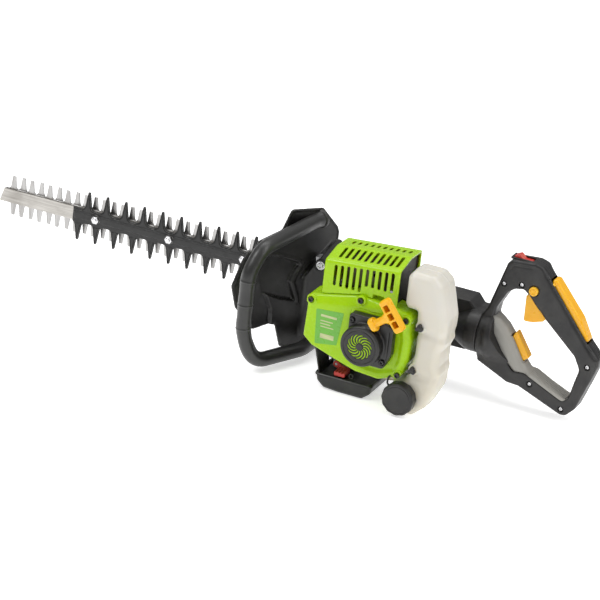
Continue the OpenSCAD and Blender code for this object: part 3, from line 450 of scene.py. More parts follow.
def net(field, low, high, step):
    """A field's surface as quads, with one corner in each cell of a grid that it crosses."""
    low = np.asarray(low, float)
    count = np.ceil((np.asarray(high, float) - low) / step).astype(int) + 1
    x, y, z = (low[k] + step * np.arange(count[k]) for k in range(3))
    value = np.broadcast_to(field(x[:, None, None], y[None, :, None], z[None, None, :]), count)
    quads, spots = [], []
    for axis in range(3):
        a = value[tuple(slice(0, -1) if k == axis else slice(None) for k in range(3))]
        b = value[tuple(slice(1, None) if k == axis else slice(None) for k in range(3))]
        u, v = (axis + 1) % 3, (axis + 2) % 3
        found = np.argwhere((a < 0) != (b < 0))
        held = (found[:, u] > 0) & (found[:, v] > 0)
        held &= (found[:, u] < count[u] - 1) & (found[:, v] < count[v] - 1)
        found = found[held]
        start, end = a[tuple(found.T)], b[tuple(found.T)]
        spot = found.astype(float)
        spot[:, axis] += start / (start - end)
        around = []
        for du, dv in ((-1, -1), (0, -1), (0, 0), (-1, 0)):
            cell = found.copy()
            cell[:, u] += du
            cell[:, v] += dv
            around.append(np.ravel_multi_index(cell.T, count))
        around = np.stack(around, 1)
        around[start >= 0] = around[start >= 0][:, ::-1]
        quads.append(around)
        spots.append(np.repeat(spot[:, None, :], 4, 1))
    index = np.unique(np.concatenate(quads), return_inverse=True)[1].reshape(-1)
    spots = np.concatenate(spots).reshape(-1, 3)
    shares = np.bincount(index)
    corners = np.stack([np.bincount(index, spots[:, k]) / shares for k in range(3)], 1)
    return low + corners * step, index.reshape(-1, 4)


def piece(name, corners, faces, body, slot, stands_for=(), finish=None, crease=None):
    """A mesh from corners in millimetres, riding on a body. crease is the angle that stays sharp."""
    mesh = bpy.data.meshes.new(name)
    mesh.from_pydata(to_frame(corners), [], [list(f) for f in np.asarray(faces, object)])
    mesh.polygons.foreach_set("use_smooth", [True] * len(mesh.polygons))
    if crease is not None:
        mesh.set_sharp_from_angle(angle=math.radians(crease))
    mesh.materials.append(finish or FINISHES[slot])
    made = bpy.data.objects.new(name, mesh)
    bpy.context.scene.collection.objects.link(made)
    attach(made, body)
    if stands_for:
        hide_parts(*stands_for)
    return made


def carve(name, field, low, high, step, body, slot, stands_for=(), finish=None):
    """The piece that a field describes, cut on a grid of step between two corners."""
    return piece(name, *net(field, low, high, step), body, slot, stands_for, finish)


ALONG_Y = (0, 1, 0)


def lathe(profile, centre, axis, sides=40):
    """A profile of (distance along the axis, radius) turned around the axis."""
    axis = np.asarray(axis, float) / np.linalg.norm(axis)
    side = np.cross(axis, (0, 0, 1) if abs(axis[2]) < 0.9 else (1, 0, 0))
    side /= np.linalg.norm(side)
    turn = np.arange(sides) * 2 * math.pi / sides
    spokes = np.cos(turn)[:, None] * side + np.sin(turn)[:, None] * np.cross(axis, side)
    corners = np.concatenate([np.asarray(centre) + t * axis + r * spokes for t, r in profile])
    return corners, tube_faces(len(profile), sides)


def tube_faces(rings, sides):
    """The faces of a row of rings that all have as many corners, with both ends closed."""
    faces = [
        (i * sides + k, i * sides + (k + 1) % sides,
         (i + 1) * sides + (k + 1) % sides, (i + 1) * sides + k)
        for i in range(rings - 1) for k in range(sides)
    ]
    last = (rings - 1) * sides
    return faces + [tuple(range(sides - 1, -1, -1)), tuple(range(last, last + sides))]


def bent(points, cuts, steps=10):
    """A path through points whose corners are rounded off by the cuts."""
    points = np.asarray(points, float)
    out = [points[0]]
    for i, cut in enumerate(cuts, 1):
        before, after = points[i - 1] - points[i], points[i + 1] - points[i]
        start = points[i] + before / np.linalg.norm(before) * cut
        end = points[i] + after / np.linalg.norm(after) * cut
        for t in np.linspace(0, 1, steps + 1):
            out.append((1 - t) ** 2 * start + 2 * t * (1 - t) * points[i] + t * t * end)
    return np.array(out + [points[-1]])


def even(path, spacing):
    """The same path with its points about spacing apart."""
    lengths = np.concatenate([[0], np.cumsum(np.linalg.norm(np.diff(path, axis=0), axis=1))])
    marks = np.linspace(0, lengths[-1], int(lengths[-1] / spacing) + 1)
    return np.stack([np.interp(marks, lengths, path[:, k]) for k in range(3)], 1)


def sweep(path, radii, sides=28):
    """A round tube along a path, with a radius for each of its points."""
    ahead = np.gradient(path, axis=0)
    ahead /= np.linalg.norm(ahead, axis=1)[:, None]
    side = np.cross(ahead[0], (0, 1, 0.3))
    turn = np.arange(sides) * 2 * math.pi / sides
    rings = []
    for point, way, radius in zip(path, ahead, radii):
        side = side - way * (side @ way)
        side /= np.linalg.norm(side)
        other = np.cross(way, side)
        rings.append(point + radius * (np.cos(turn)[:, None] * side + np.sin(turn)[:, None] * other))
    return np.concatenate(rings), tube_faces(len(path), sides)


def drawn_in(outline, distance):
    """A closed outline with its edges moved towards its left by distance."""
    along = np.roll(outline, -1, 0) - outline
    left = np.stack([-along[:, 1], along[:, 0]], 1) / np.linalg.norm(along, axis=1)[:, None]
    before = np.roll(left, 1, 0)
    share = np.maximum(1 + (left * before).sum(1), 0.4)
    return outline + (left + before) / share[:, None] * distance


def plate(outlines, y0, y1, edge, steps=2):
    """A plate across Y between an outer outline and any holes, with its edges rounded."""
    levels = []
    for a in np.linspace(0, math.pi / 2, steps + 1):
        levels.append((edge * (1 - math.sin(a)), y0 + edge * (1 - math.cos(a))))
    levels += [(d, y0 + y1 - y) for d, y in reversed(levels)]
    corners, faces, first, last, count = [], [], [], [], 0
    for k, outline in enumerate(outlines):
        outline = np.asarray(outline, float)
        ahead = np.roll(outline, -1, 0)
        area = (outline[:, 0] * ahead[:, 1] - ahead[:, 0] * outline[:, 1]).sum()
        if (area > 0) == (k > 0):
            outline = outline[::-1]
        n = len(outline)
        for i, (d, y) in enumerate(levels):
            loop = drawn_in(outline, d)
            corners.append(np.stack([loop[:, 0], np.full(n, y), loop[:, 1]], 1))
            if i == 0:
                first.append((count, loop))
            if i == len(levels) - 1:
                last.append((count + i * n, loop))
            else:
                here = count + i * n
                faces += [(here + j, here + n + j, here + n + (j + 1) % n, here + (j + 1) % n)
                          for j in range(n)]
        count += n * len(levels)
    for loops, flip in ((first, False), (last, True)):
        index = np.concatenate([np.arange(len(loop)) + start for start, loop in loops])
        for tri in tessellate_polygon([[Vector((x, z, 0)) for x, z in loop] for _, loop in loops]):
            corner = [int(index[j]) for j in tri]
            a, b, c = (np.concatenate([loop for _, loop in loops])[j] for j in tri)
            up = (b[0] - a[0]) * (c[1] - a[1]) - (b[1] - a[1]) * (c[0] - a[0]) > 0
            faces.append(tuple(corner if up != flip else corner[::-1]))
    return np.concatenate(corners), faces


# ---- blade -------------------------------------------------------------------------------

TOOTH_PITCH = 35.0
TIP_Z = 45.5
# The first tooth of the guard's upper and lower rows, and how many each row has.
UPPER_ROW, LOWER_ROW = (-602.5, 12), (-620, 13)
BOLTS = (-586, -446, -306)
BAR_SCREWS = (-140, -122)
BOLT_RADIUS = 3.9
GEAR_X = -45
BLADE_THICKNESS = 2.1


def comb(x, z, first, count):
    """Distance to the nearest of a row of the guard's teeth, which narrow to a round tip."""
    k = np.clip(np.round((x - first) / TOOTH_PITCH), 0, count - 1)
    half = 2.2 + 4.5 * np.clip((TIP_Z - z) / 29, 0, 1.2) + 3.4 * np.clip((20 - z) / 8, 0, 1) ** 2
    return both(0.97 * (np.abs(x - first - k * TOOTH_PITCH) - half), z - TIP_Z, 2.1)


def guard_field(x, y, z):
    """A toothed sheet: raised along its middle, its teeth raised too, with a groove inside their edge."""
    strip = meet(band(x, -631, -172), np.abs(z) - 13.2)
    teeth = np.where(z > 0, comb(x, z, *UPPER_ROW), comb(x, -z, *LOWER_ROW))
    flat = either(strip, teeth, 2)
    sheet = both(flat, band(y, -1.4, 0.9), 0.5)
    channel = both(meet(np.abs(z) - 6.3 - 0.45 * (y + 1.4), band(x, -628, -172)), -3.4 - y, 0.9)
    channel = meet(channel, y)
    bead = both(np.minimum(flat + 2.9, np.abs(flat + 1.1) - 0.7), -2.9 - y, 0.7)
    bead = meet(bead, y, np.minimum(9.2 - z, 15.5 + z))
    body = either(either(sheet, channel, 0.8), bead, 0.5)
    for at in BOLTS:
        body = either(body, both(ring(x, z, at, 0, 9.5), -3.4 - y, 1), 1)
        body = meet(body, -ring(x, z, at, 0, 4.1))
    return body


def blade_outline(lead, first_low):
    """A sliding blade seen from the side: a strip with teeth, and a head around its eccentric."""
    start, cam = -757.25 + lead, GEAR_X + lead
    out = [(start, -13, 1), (start, 13, 1)]
    upper = (1, range(-4, UPPER_ROW[1]), UPPER_ROW[0])
    lower = (-1, range(LOWER_ROW[1] - 1, first_low - 1, -1), LOWER_ROW[0])
    tooth = [(-7.8, 13, 2), (-5.7, 16.5, 3), (-3.2, 36, 1), (3.2, 36, 1), (5.7, 16.5, 3), (7.8, 13, 2)]
    for side, numbers, row in (upper, lower):
        if side < 0:
            out += [(cam - 25, 13, 2), (cam - 25, 32, 10), (cam + 25, 32, 10),
                    (cam + 25, -32, 10), (cam - 25, -32, 10), (cam - 25, -13, 2)]
        for i in numbers:
            at = row + lead + i * TOOTH_PITCH
            out += [(at + side * u, side * v, r) for u, v, r in tooth]
    return rounded(out, 3)


def sliding_blade(name, body, node, lead, first_low, y0):
    """A ground blade with bevelled cutting edges, slots for its bolts and a window for its eccentric."""
    outlines = [blade_outline(lead, first_low), box_outline(GEAR_X + lead, 18, 0, 25.3, 1, 3)]
    for at in BOLTS:
        outlines.append(box_outline(at + lead, 14, 0, 4.5, 4.4, 5))
    shape = plate(outlines, y0, y0 + BLADE_THICKNESS, 0.7, 1)
    piece(name, *shape, body, "blade_steel", [node], crease=20)


def guard_bolt(k, at):
    """A bolt through the blades: a bright nut around its end in front, a six-sided head behind."""

    def field(x, y, z):
        six = hexagon(x - at, z, 6.4)
        nut = both(both(six, -8.4 - y, 1.6), y + 4.6, 0.1)
        head = both(both(six, y - 14.7, 1.4), 10.4 - y, 0.1)
        shaft = both(ring(x, z, at, 0, BOLT_RADIUS), band(y, -10.8, 12), 0.8)
        return np.minimum(either(nut, shaft, 0.4), head)

    low, high = (at - 9, -12, -9), (at + 9, 16, 9)
    made = carve(f"guard_nut_{k}", field, low, high, 0.45, "machine", "bolt_steel")
    profile = [(0, 4), (0, 8.2), (0.3, 8.5), (1.0, 8.5), (1.0, 4)]
    washer = lathe(profile, (at, -4.6, 0), ALONG_Y)
    piece(f"guard_washer_{k}", *washer, "machine", "guard_black", crease=35)
    return made


def bar_screw(k, at):
    """A screw near the gear case: a plain round end in front, a round hollow behind."""
    profile = [(0, 0.4), (0, 2.4), (0.5, 3), (15.3, 3), (15.8, 2.6), (15.8, 1.6), (13, 1.5), (13, 0.4)]
    piece(f"bar_screw_{k}", *lathe(profile, (at, -11, 0), ALONG_Y, 36), "machine", "bolt_steel", crease=40)


def blade():
    carve("tooth_guard_pressing", guard_field, (-634, -5, -48), (-169, 3, 48), 0.8,
          "machine", "guard_black", ["tooth_guard"])
    sliding_blade("blade_near", "front_blade_body", "blade_front", -8.75, -3, 5.3)
    sliding_blade("blade_far", "back_blade_body", "blade_back", 8.75, -4, 7.7)
    for k, at in enumerate(BOLTS):
        nut = guard_bolt(k, at)
    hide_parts("blade_bolts")
    for k, at in enumerate(BAR_SCREWS):
        bar_screw(k, at)


# ---- covers and starter ------------------------------------------------------------------

FAN = rounded([
    (-109, 50, 6), (-112, -21, 5), (-96, -34, 8), (-54, -48, 12), (-17, -59, 14), (24, -62, 16),
    (58, -50, 14), (69, -25, 12), (71, 12, 20), (68, 30, 10), (67, 58, 8), (30, 66, 8),
    (-23, 70, 10), (-97, 54, 10)])
STARTER = rounded([
    (-30, -26, 14), (-12, -36, 14), (36, -36, 8), (47, -10, 10), (47, 38, 8), (26, 46, 6), (-30, 46, 7)])
COVER_SCREWS = [(-104, 44), (-19, 64), (61, 50), (57, -46)]
STARTER_SCREWS = [(-24, 35), (34, -24)]
FAN_FRONT, FAN_BACK = -185, -140
ROPE_Y = -209
CYLINDER_Y = -106


def fan_cover_field(x, y, z):
    side = within(FAN, x, z)
    valley = smooth((-side - 8) / 9) * smooth((x + 40) / 40) * smooth((38 - z) / 12)
    face = FAN_FRONT + 2.4 * valley - y
    slope = (face + 0.42 * (z - 40 - 0.16 * (x + 93))) / 1.085
    front = both(face, slope, 2.5)
    body = both(side, front, 4 + 8 * smooth((x - 30) / 35))
    for sx, sz in COVER_SCREWS:
        pad = both(ring(x, z, sx, sz, 8.4), FAN_FRONT - 0.6 - y, 1.4)
        body = either(body, meet(pad, side - 2), 2)
    seat = within(STARTER, x, z)
    body = without(body, meet(np.abs(seat - 3.4) - 0.8, y + 184.0), 0.5)
    room = both(side + 3, front + 3, 2 + 8 * smooth((x - 30) / 35))
    body = meet(body, -room, y - FAN_BACK)
    body = meet(body, -meet(ring(x, z, 0, 0, 32), y + 175))
    for sx, sz in COVER_SCREWS:
        body = without(body, meet(ring(x, z, sx, sz, 5.4), y + 183.6), 0.7)
    return body


ROOF = rounded([(-178, 20, 0), (-88, 20, 0), (-88, 126, 5), (-132, 127.8, 14), (-176, 117, 9)], 8)
ROOF_LOW, ROOF_RISE = -71, 0.0854
SLOT_PITCH, SLOT_HALF = 10.9, 2.5


def muffler_cover_field(x, y, z):
    section = within(ROOF, y, z - ROOF_RISE * (x - ROOF_LOW))
    outer = meet(both(section, -92 - x, 5), x - 39)
    inside = both(section + 2.6, -89.4 - x, 3)
    body = meet(outer, -inside, 52 - z)
    lip = meet(outer, band(x, 35.5, 39), -(section + 4.4))
    body = np.minimum(body, meet(lip, 52 - z))
    fan = within(FAN, x, z)
    body = meet(body, -meet(fan - 0.7, band(y, -200, -139.4)))
    body = meet(body, -meet(fan - 2.8, band(y, -141, -136.4)))
    notch = meet(both(band(x, -3, 17), z - 76.5, 3), band(y, -190, -170))
    body = meet(body, -notch)
    for i in range(10):
        at = ROOF_LOW + SLOT_PITCH * i
        low = 76.5 if i < 5 else 88.5
        front = np.hypot(x - at, z - np.clip(z, low, 106.5 + 1.2 * i)) - SLOT_HALF
        body = without(body, meet(front, band(y, -190, -168)), 0.7)
        slant = np.hypot(x - at, y - np.clip(y, -163, -138)) - SLOT_HALF
        top = np.hypot(x - at, y - np.clip(y, -114.5, -104.5)) - SLOT_HALF
        body = without(body, meet(np.minimum(slant, top), 112 - z), 0.7)
    return body


def along_rope(x, z):
    """How far a point is along the pulled rope's way out of the starter, and how far beside it."""
    return x * 0.79 + z * 0.613, z * 0.79 - x * 0.613 - 22.2


def starter_field(x, y, z):
    """The starter's housing: a plate, a round tower with a grille, and the rope's mouth."""
    radius = np.hypot(x, z)
    base = meet(both(within(STARTER, x, z), -200 - y, 2.6), y + 185)
    tower = meet(both(radius - 34, -218 - y, 3.2), y + 185)
    body = either(base, tower, 2.5)
    out, beside = along_rope(x, z)
    from_rope = np.hypot(beside, y - ROPE_Y)
    guide = both(from_rope - 7, band(out, 20, 34), 1)
    body = either(body, guide, 2)
    body = without(body, meet(np.abs(radius - 27.6) - 0.9, y + 217.1), 0.4)
    body = without(body, meet(np.abs(x - 40.5) - 0.8, band(z, -18, 30), y + 199.2), 0.3)
    body = meet(body, -both(radius - 30, -215.6 - y, 1))
    body = meet(body, -(from_rope - 2.6 + 99 * (out < 0)))
    for sx, sz in STARTER_SCREWS:
        body = without(body, meet(ring(x, z, sx, sz, 5.2), y + 198), 0.7)
    body = without(body, meet(swirl(x, z, 0.3), y + 212), 0.3)
    post = meet(radius - 5.2, band(y, -217.4, -202.6))
    return np.minimum(body, post)


SWIRL_BLADES = 14


def swirl(x, z, gap):
    """The curved blades around the starter's middle, each wider by gap on both sides."""
    radius = np.hypot(x, z)
    period = 2 * math.pi / SWIRL_BLADES
    t = np.clip((radius - 6) / 15, 0, 1.2)
    lag = np.arctan2(z, x) + math.radians(50) * t * t
    across = np.abs((lag + period / 2) % period - period / 2)
    width = 0.55 + 1.15 * np.clip(t, 0, 1) + gap
    return both(across * radius * 0.9 - width, np.abs(radius - 13.5) - 7.3 - gap, 1.0)


def swirl_field(x, y, z):
    """The green disc behind the starter's grille, with ribs that fill the grille's slots."""
    ribs = both(swirl(x, z, 0.0), -217.7 - y, 0.5)
    disc = meet(np.hypot(x, z) - 23.6, band(y, -215.5, -214.7))
    return np.minimum(meet(ribs, y + 215), disc)


def socket_screw(name, x, z, front, radius):
    """A cap screw's head, rounded at its rim, with a six-sided socket."""
    depth = 4.6

    def field(u, y, w):
        head = both(ring(u, w, x, z, radius), band(y, front, front + depth), 0.6)
        socket = meet(hexagon(u - x, w - z, radius * 0.52), y - front - 2.4)
        return without(head, socket, 0.2)

    low = (x - radius - 1, front - 1, z - radius - 1)
    high = (x + radius + 1, front + depth + 1, z + radius + 1)
    return carve(name, field, low, high, 0.33, "machine", "black_screw")


def covers():
    carve("fan_cover_shell", fan_cover_field, (-115, -188, -65), (74, -138, 73), 1.05,
          "machine", "green_plastic", ["fan_cover"])
    carve("muffler_cover_shell", muffler_cover_field, (-94, -180, 50), (41, -86, 142), 0.95,
          "machine", "green_plastic", ["muffler_cover"])
    carve("starter_shell", starter_field, (-37, -220, -40), (50, -183, 50), 0.62,
          "machine", "moulded_black", ["starter_housing"])
    for k, (x, z) in enumerate(COVER_SCREWS):
        socket_screw(f"cover_screw_{k}", x, z, -188.2, 4.3)
    for k, (x, z) in enumerate(STARTER_SCREWS):
        screw = socket_screw(f"starter_screw_{k}", x, z, -202.6, 3.9)
    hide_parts("housing_screws")
    carve("vent_swirl", swirl_field, (-25, -219, -25), (25, -213, 25), 0.45,
          "machine", "green_plastic", ["vent_disc"])
    label = rounded([(-90, -29, 2), (-52, -23, 2), (-45, 35, 2), (-93, 31, 2)], 3)
    film = plate([label], -185.3, -184.9, 0.1, 1)
    piece("label_film", *film, "machine", "green_plastic", finish=sticker_film(), crease=40)
    label_marks()


def label_marks():
    """Plain pale bars and a patch on the label, in place of its printing."""
    bars = [(-84, -56, 20, 24), (-84, -62, 12, 14), (-84, -66, 7, 9), (-83, -60, 2, 4), (-82, -58, -17, -9)]
    for k, (left, right, low, high) in enumerate(bars):
        bar = rounded([(left, low, 0.6), (right, low, 0.6), (right, high, 0.6), (left, high, 0.6)], 3)
        film = plate([bar], -185.5, -185.2, 0.08, 1)
        piece(f"label_bar_{k}", *film, "machine", "green_plastic", finish=FINISHES["pale_print"], crease=40)


# ---- pull handle -------------------------------------------------------------------------


def pull_field(x, y, z):
    """A T handle with three windows in its bar and a cup at the foot of its stem."""
    out, across = along_rope(x, z)
    out = out - 76
    deep = y - ROPE_Y
    flat = both(np.abs(across) - 29, np.abs(out) - 8.5, 5)
    bar = both(flat, np.abs(deep) - 8, 2.6)
    flare = 6.5 + 6.5 * smooth((out + 22) / 16) ** 2
    side = np.maximum(np.abs(across) - flare + 6.5, 0)
    stem = both(np.hypot(side, deep) - 6.5, band(out, -36, -4), 1)
    body = either(bar, stem, 3)
    cup = both(np.hypot(across, deep) - 11.5, band(out, -43, -33), 3)
    cup = both(meet(cup, deep - 8.4), -8.7 - deep, 2)
    body = either(body, cup, 2)
    for at in (-14.5, 0, 14.5):
        window = both(np.abs(across - at) - 5.6, np.abs(out) - 4.7, 1.5)
        body = without(body, meet(window, deep - 6.0 + 99 * (deep > 9)), 0.8)
    bore = meet(np.hypot(across, deep) - 1.65, out + 10)
    return meet(body, -bore)


def pull():
    carve("pull_grip", pull_field, (-2, -220, 10), (80, -198, 94), 0.6, "pull", "orange_plastic",
          ["pull_handle"])


# ---- fuel --------------------------------------------------------------------------------

TANK = rounded([
    (51, 74, 6), (56, 67, 4), (73, 66, 4), (74, 48, 5), (77, 26, 8), (77, -8, 12), (70, -36, 10),
    (66, -52, 6), (46, -61, 4), (38, -100, 8), (50, -114, 8), (84, -114, 12), (104, -96, 16),
    (119, -64, 16), (124, -34, 8), (120, -20, 8), (120, 6, 8), (126, 20, 10), (126, 60, 16),
    (112, 117, 16), (96, 130, 14), (58, 130, 10), (51, 120, 10)])
TANK_FRONT, TANK_BACK = -178, -115
CAP_X, CAP_Z = 66, -82
KNOBS = [(84, 43), (80, -32)]


def tank_field(x, y, z):
    side = within(TANK, x, z)
    tilt = 0.1 * (x - 100)
    waist = np.exp(-(((z - 32 + tilt) / 8) ** 2)) + np.exp(-(((z + 42 - tilt) / 8) ** 2))
    middle = (TANK_FRONT + TANK_BACK) / 2
    depth = np.abs(y - middle) - (TANK_BACK - TANK_FRONT) / 2 + 2.6 * waist
    body = both(side + 1.2 * waist, depth, 13)
    seam = both(side - 0.9 + 1.2 * waist, np.abs(y - middle) - 0.9, 0.5)
    body = either(body, meet(seam, FLOOR_Z - z), 1.2)
    neck = both(ring(x, z, CAP_X, CAP_Z, 20), band(y, -184, -170), 2)
    body = either(body, neck, 5)
    for kx, kz in KNOBS:
        body = either(body, both(ring(x, z, kx, kz, 8.5), band(y, -178.4, -165), 1.5), 3)
    return meet(body, FLOOR_Z - z)


def cap_outline():
    """The fuel cap's rim, with twelve shallow waves for the fingers."""
    points = []
    for k in range(72):
        turn = 2 * math.pi * k / 72
        radius = 27.2 + 0.45 * math.cos(12 * turn)
        points.append((CAP_X + radius * math.cos(turn), CAP_Z + radius * math.sin(turn)))
    return points


def cap_field(x, y, z):
    rim = within(cap_outline(), x, z)
    from_axis = np.hypot(x - CAP_X, z - CAP_Z)
    body = both(rim, band(y, -198, -179.2), 3)
    body = without(body, both(np.abs(from_axis - 22.4) - 0.6, y + 197.4, 0.2), 0.3)
    return meet(body, -meet(from_axis - 21, -187 - y))


def knob_field(kx, kz):
    def field(x, y, z):
        body = both(ring(x, z, kx, kz, 3.6), band(y, -187, -177), 0.8)
        for turn in (90, 210, 330):
            a = math.radians(turn)
            lobe = ring(x, z, kx + 3.6 * math.cos(a), kz + 3.6 * math.sin(a), 3.3)
            body = either(body, both(lobe, band(y, -186.4, -179.4), 1), 1)
        return body
    return field


def fuel():
    carve("tank_shell", tank_field, (34, -188, -118), (130, -112, 134), 1.25,
          "machine", "tank_plastic", ["fuel_tank"])
    carve("cap_body", cap_field, (36, -200, -112), (96, -177, -52), 0.62, "cap", "moulded_black",
          ["fuel_cap"])
    for k, (kx, kz) in enumerate(KNOBS):
        knob = carve(f"tank_knob_{k}", knob_field(kx, kz), (kx - 9, -189, kz - 9), (kx + 9, -176, kz + 9),
                     0.4, "machine", "moulded_black")
    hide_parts("tank_knobs")


# ---- intake ------------------------------------------------------------------------------


def tray_outline(rim):
    return rounded([(-92, rim, 2), (-88, -102, 7), (-76, -112, 8), (-50, -114, 4),
                    (-8, -114, 6), (5, -104, 9), (9, rim, 2)])


def tray_field(x, y, z):
    side = within(tray_outline(-86), x, z)
    body = both(side, band(y, -166, -60), 7)
    step = both(within(tray_outline(-88), x, z) - 0.9, band(y, -167, -59), 7)
    body = either(body, meet(step, -91.5 - z), 0.6)
    room = both(within(tray_outline(-70), x, z) + 2.6, band(y, -163.4, -62.6), 5)
    return meet(body, -room, FLOOR_Z - z)


def wall_field(x, y, z):
    """The filter's base plate, with a wall at its end that leans outwards."""
    wall = within([(-98, -46), (-94.5, -46), (-84.5, -90.5), (-84.5, -94), (-85.6, -94)], x, z)
    base = both(both(band(x, -85.6, 3.4), band(y, -162.5, -63), 3), band(z, -94, -90), 0.6)
    body = either(both(wall, band(y, -162, -119), 0.8), base, 1.5)
    return meet(body, -ring(x, y, -60, CYLINDER_Y, 7))


def choke_field(x, y, z):
    """The red choke knob on its arm."""
    knob = both(both(band(x, -60.4, -41.2), band(z, -87, -79), 2), band(y, -161.5, -139), 1.4)
    for at in (-56, -51, -46):
        knob = without(knob, meet(ring(x, z, at, -79.5, 1.1), y + 145), 0.4)
    arm = within([(-69, -80), (-56, -86), (-43, -86), (-43, -79), (-56, -77), (-64, -71)], x, z)
    arm = both(arm, band(y, -140.8, -135.2), 0.8)
    body = either(knob, arm, 1)
    body = either(body, both(ring(x, z, -66, -76, 5.2), band(y, -140.8, -133.7), 0.8), 1)
    return meet(body, -ring(x, z, -66, -76, 2.1))


def intake():
    carve("filter_tray", tray_field, (-95, -170, -117), (13, -56, -82), 0.85, "machine", "moulded_black",
          ["filter_cover"])
    carve("filter_plate", wall_field, (-101, -165, -97), (8, -60, -43), 0.9, "machine", "moulded_black",
          ["filter_base"])
    carve("choke_knob", choke_field, (-73, -164, -90), (-39, -131, -69), 0.5, "choke", "red_rubber",
          ["choke_lever"])
    ring_path = [(-31 + 3.4 * math.cos(a), -158, -82 + 3.4 * math.sin(a)) for a in np.linspace(0, 6.1, 25)]
    piece("pull_ring", *sweep(np.array(ring_path), np.full(25, 1.1), 10), "machine", "rubber_black")
    tether = even(bent([(47, -180, -44), (43, -187, -54), (43, -188, -64), (50, -181, -68)], [5, 5]), 1.2)
    piece("cap_tether", *sweep(tether, np.full(len(tether), 1.6), 10), "machine", "rubber_black")


# ---- loop handle and shield --------------------------------------------------------------

LOOP_PATH = [(-172, -12, 112), (-204, -168, 100), (-214, -192, 62), (-214, -192, -46),
             (-196, -178, -94), (-152, -84, -93), (-150, -32, -93)]
LOOP_BENDS = [19, 19, 26, 26, 10]
# How far the shield's plate leans back, and the X of the line that it leans around.
LEAN = math.radians(30)
SHIELD_FOOT = -167.2
SHIELD_BOLT_X, SHIELD_BOLT_Z = -155, (38, -38)
SHIELD = rounded([
    (-74, 136, 8), (-10, 130, 8), (24, 92, 5), (28, 82, 3), (28, -70, 6), (12, -114, 4),
    (-60, -114, 5), (-72, -108, 5), (-86, -66, 6), (-129, -70, 8), (-168, -24, 14), (-179, 16, 14),
    (-158, 60, 14), (-135, 90, 12), (-90, 103, 6)])
FLANGE = rounded([(-185, 6, 3), (-186, -60, 6), (-178, -98, 6), (-166, -107, 6), (-134, -107, 6),
                  (-118, -60, 6), (-118, 70, 6), (-124, 92, 5), (-134, 90, 4)])


def shield_field(x, y, z):
    """The leaning shield: s runs along its plate away from the machine, h through it."""
    s = math.sin(LEAN) * (x - SHIELD_FOOT) + math.cos(LEAN) * y
    h = math.cos(LEAN) * (x - SHIELD_FOOT) - math.sin(LEAN) * y
    edge = within(SHIELD, s, z)
    pocket = within([(-210, 110), (-128, 62), (-94, 59), (-48, 39), (-45, 33), (-56, 18),
                            (-62, 5), (-49, -24), (-47, -33), (-78, -24), (-105, -13), (-210, 20)], s, z)
    wing = within([(-210, 60), (-126, 50), (-113, -4), (-105, -13), (-94, -37), (-91, -66),
                          (-91, -120), (-210, -120)], s, z)
    sunk = 6.5 * smooth(-pocket / 4.5) * (1 - smooth(-wing / 5))
    sunk = sunk + 7 * smooth(-wing / 5) - 0.09 * np.maximum(-wing, 0)
    channel = from_path([(60, 112), (30, 80), (10, 58), (-26, 27), (-37, 12)], s, z)
    sunk = sunk + 2.5 * smooth(1 - channel / 6) * smooth(pocket / 6) * smooth((18 - s) / 10)
    lift = h + sunk
    body = both(edge, np.abs(lift - 1.6) - 1.7, 1.4)
    body = either(body, np.hypot(edge + 1.9, lift - 2.4) - 1.8, 1)
    bead = from_path([(-94, 60), (-48, 41), (-42, 33), (-53, 17), (-58, 5), (-46, -24), (-44, -34)], s, z)
    body = either(body, np.hypot(bead, lift - 2.4) - 2.6, 2.5)
    flange = both(within(FLANGE, x, z), band(y, -32, -28.5), 1)
    body = either(body, flange, 6)
    blade_gap = meet(band(x, -192, -150.5), band(y, -3, 14.5), np.abs(z) - 22)
    body = without(body, blade_gap, 0.8)
    for bolt_z in SHIELD_BOLT_Z:
        from_bolt = np.hypot(x - SHIELD_BOLT_X, z - bolt_z)
        body = either(body, both(from_bolt - 11, band(y, -33, -28.5), 0.8), 1.5)
        body = without(body, from_bolt - 3.05 + 40 * (y > -20), 0.2)
        body = without(body, both(from_bolt - 8.2, y + 31.9, 0.1), 0.2)
    return meet(body, FLOOR_Z + 0.1 - z)


def shield_bolt(k, z):
    """A bright pan-head bolt with a six-sided socket, on a wide washer."""
    def field(x, y, w):
        washer = both(ring(x, w, SHIELD_BOLT_X, z, 7.6), band(y, -33.4, -32), 0.4)
        head = both(ring(x, w, SHIELD_BOLT_X, z, 5), band(y, -36.9, -33), 1.6)
        socket = meet(hexagon(x - SHIELD_BOLT_X, w - z, 2.6), y + 34.6)
        return without(either(washer, head, 0.3), socket, 0.2)
    low, high = (SHIELD_BOLT_X - 9, -38, z - 9), (SHIELD_BOLT_X + 9, -31, z + 9)
    return carve(f"shield_bolt_{k}", field, low, high, 0.4, "machine", "bolt_steel")


def loop_handle():
    """The front handle: a rubber-covered tube that swells a little where it meets the shield."""
    path = even(bent(LOOP_PATH, LOOP_BENDS, 14), 0.9)
    along = np.linspace(0, 1, len(path))
    root = smooth((0.035 - along) / 0.035) + smooth((along - 0.965) / 0.035)
    radii = 12.5 + 2.4 * root
    for mark in (0.42, 0.50, 0.58):
        radii = radii + 0.8 * np.exp(-(((along - mark) / 0.0022) ** 2))
        radii = radii - 0.5 * np.exp(-(((along - mark - 0.04) / 0.02) ** 2))
    piece("loop_sleeve", *sweep(path, radii, 36), "machine", "grip_rubber", ["front_handle"], crease=60)
    ahead = (path[8] - path[0]) / np.linalg.norm(path[8] - path[0])
    profile = [(-1, 12), (-1, 16.5), (2, 17), (4.5, 16), (6, 14), (6, 12)]
    piece("loop_collar", *lathe(profile, path[0], ahead, 44), "machine", "moulded_black", crease=50)


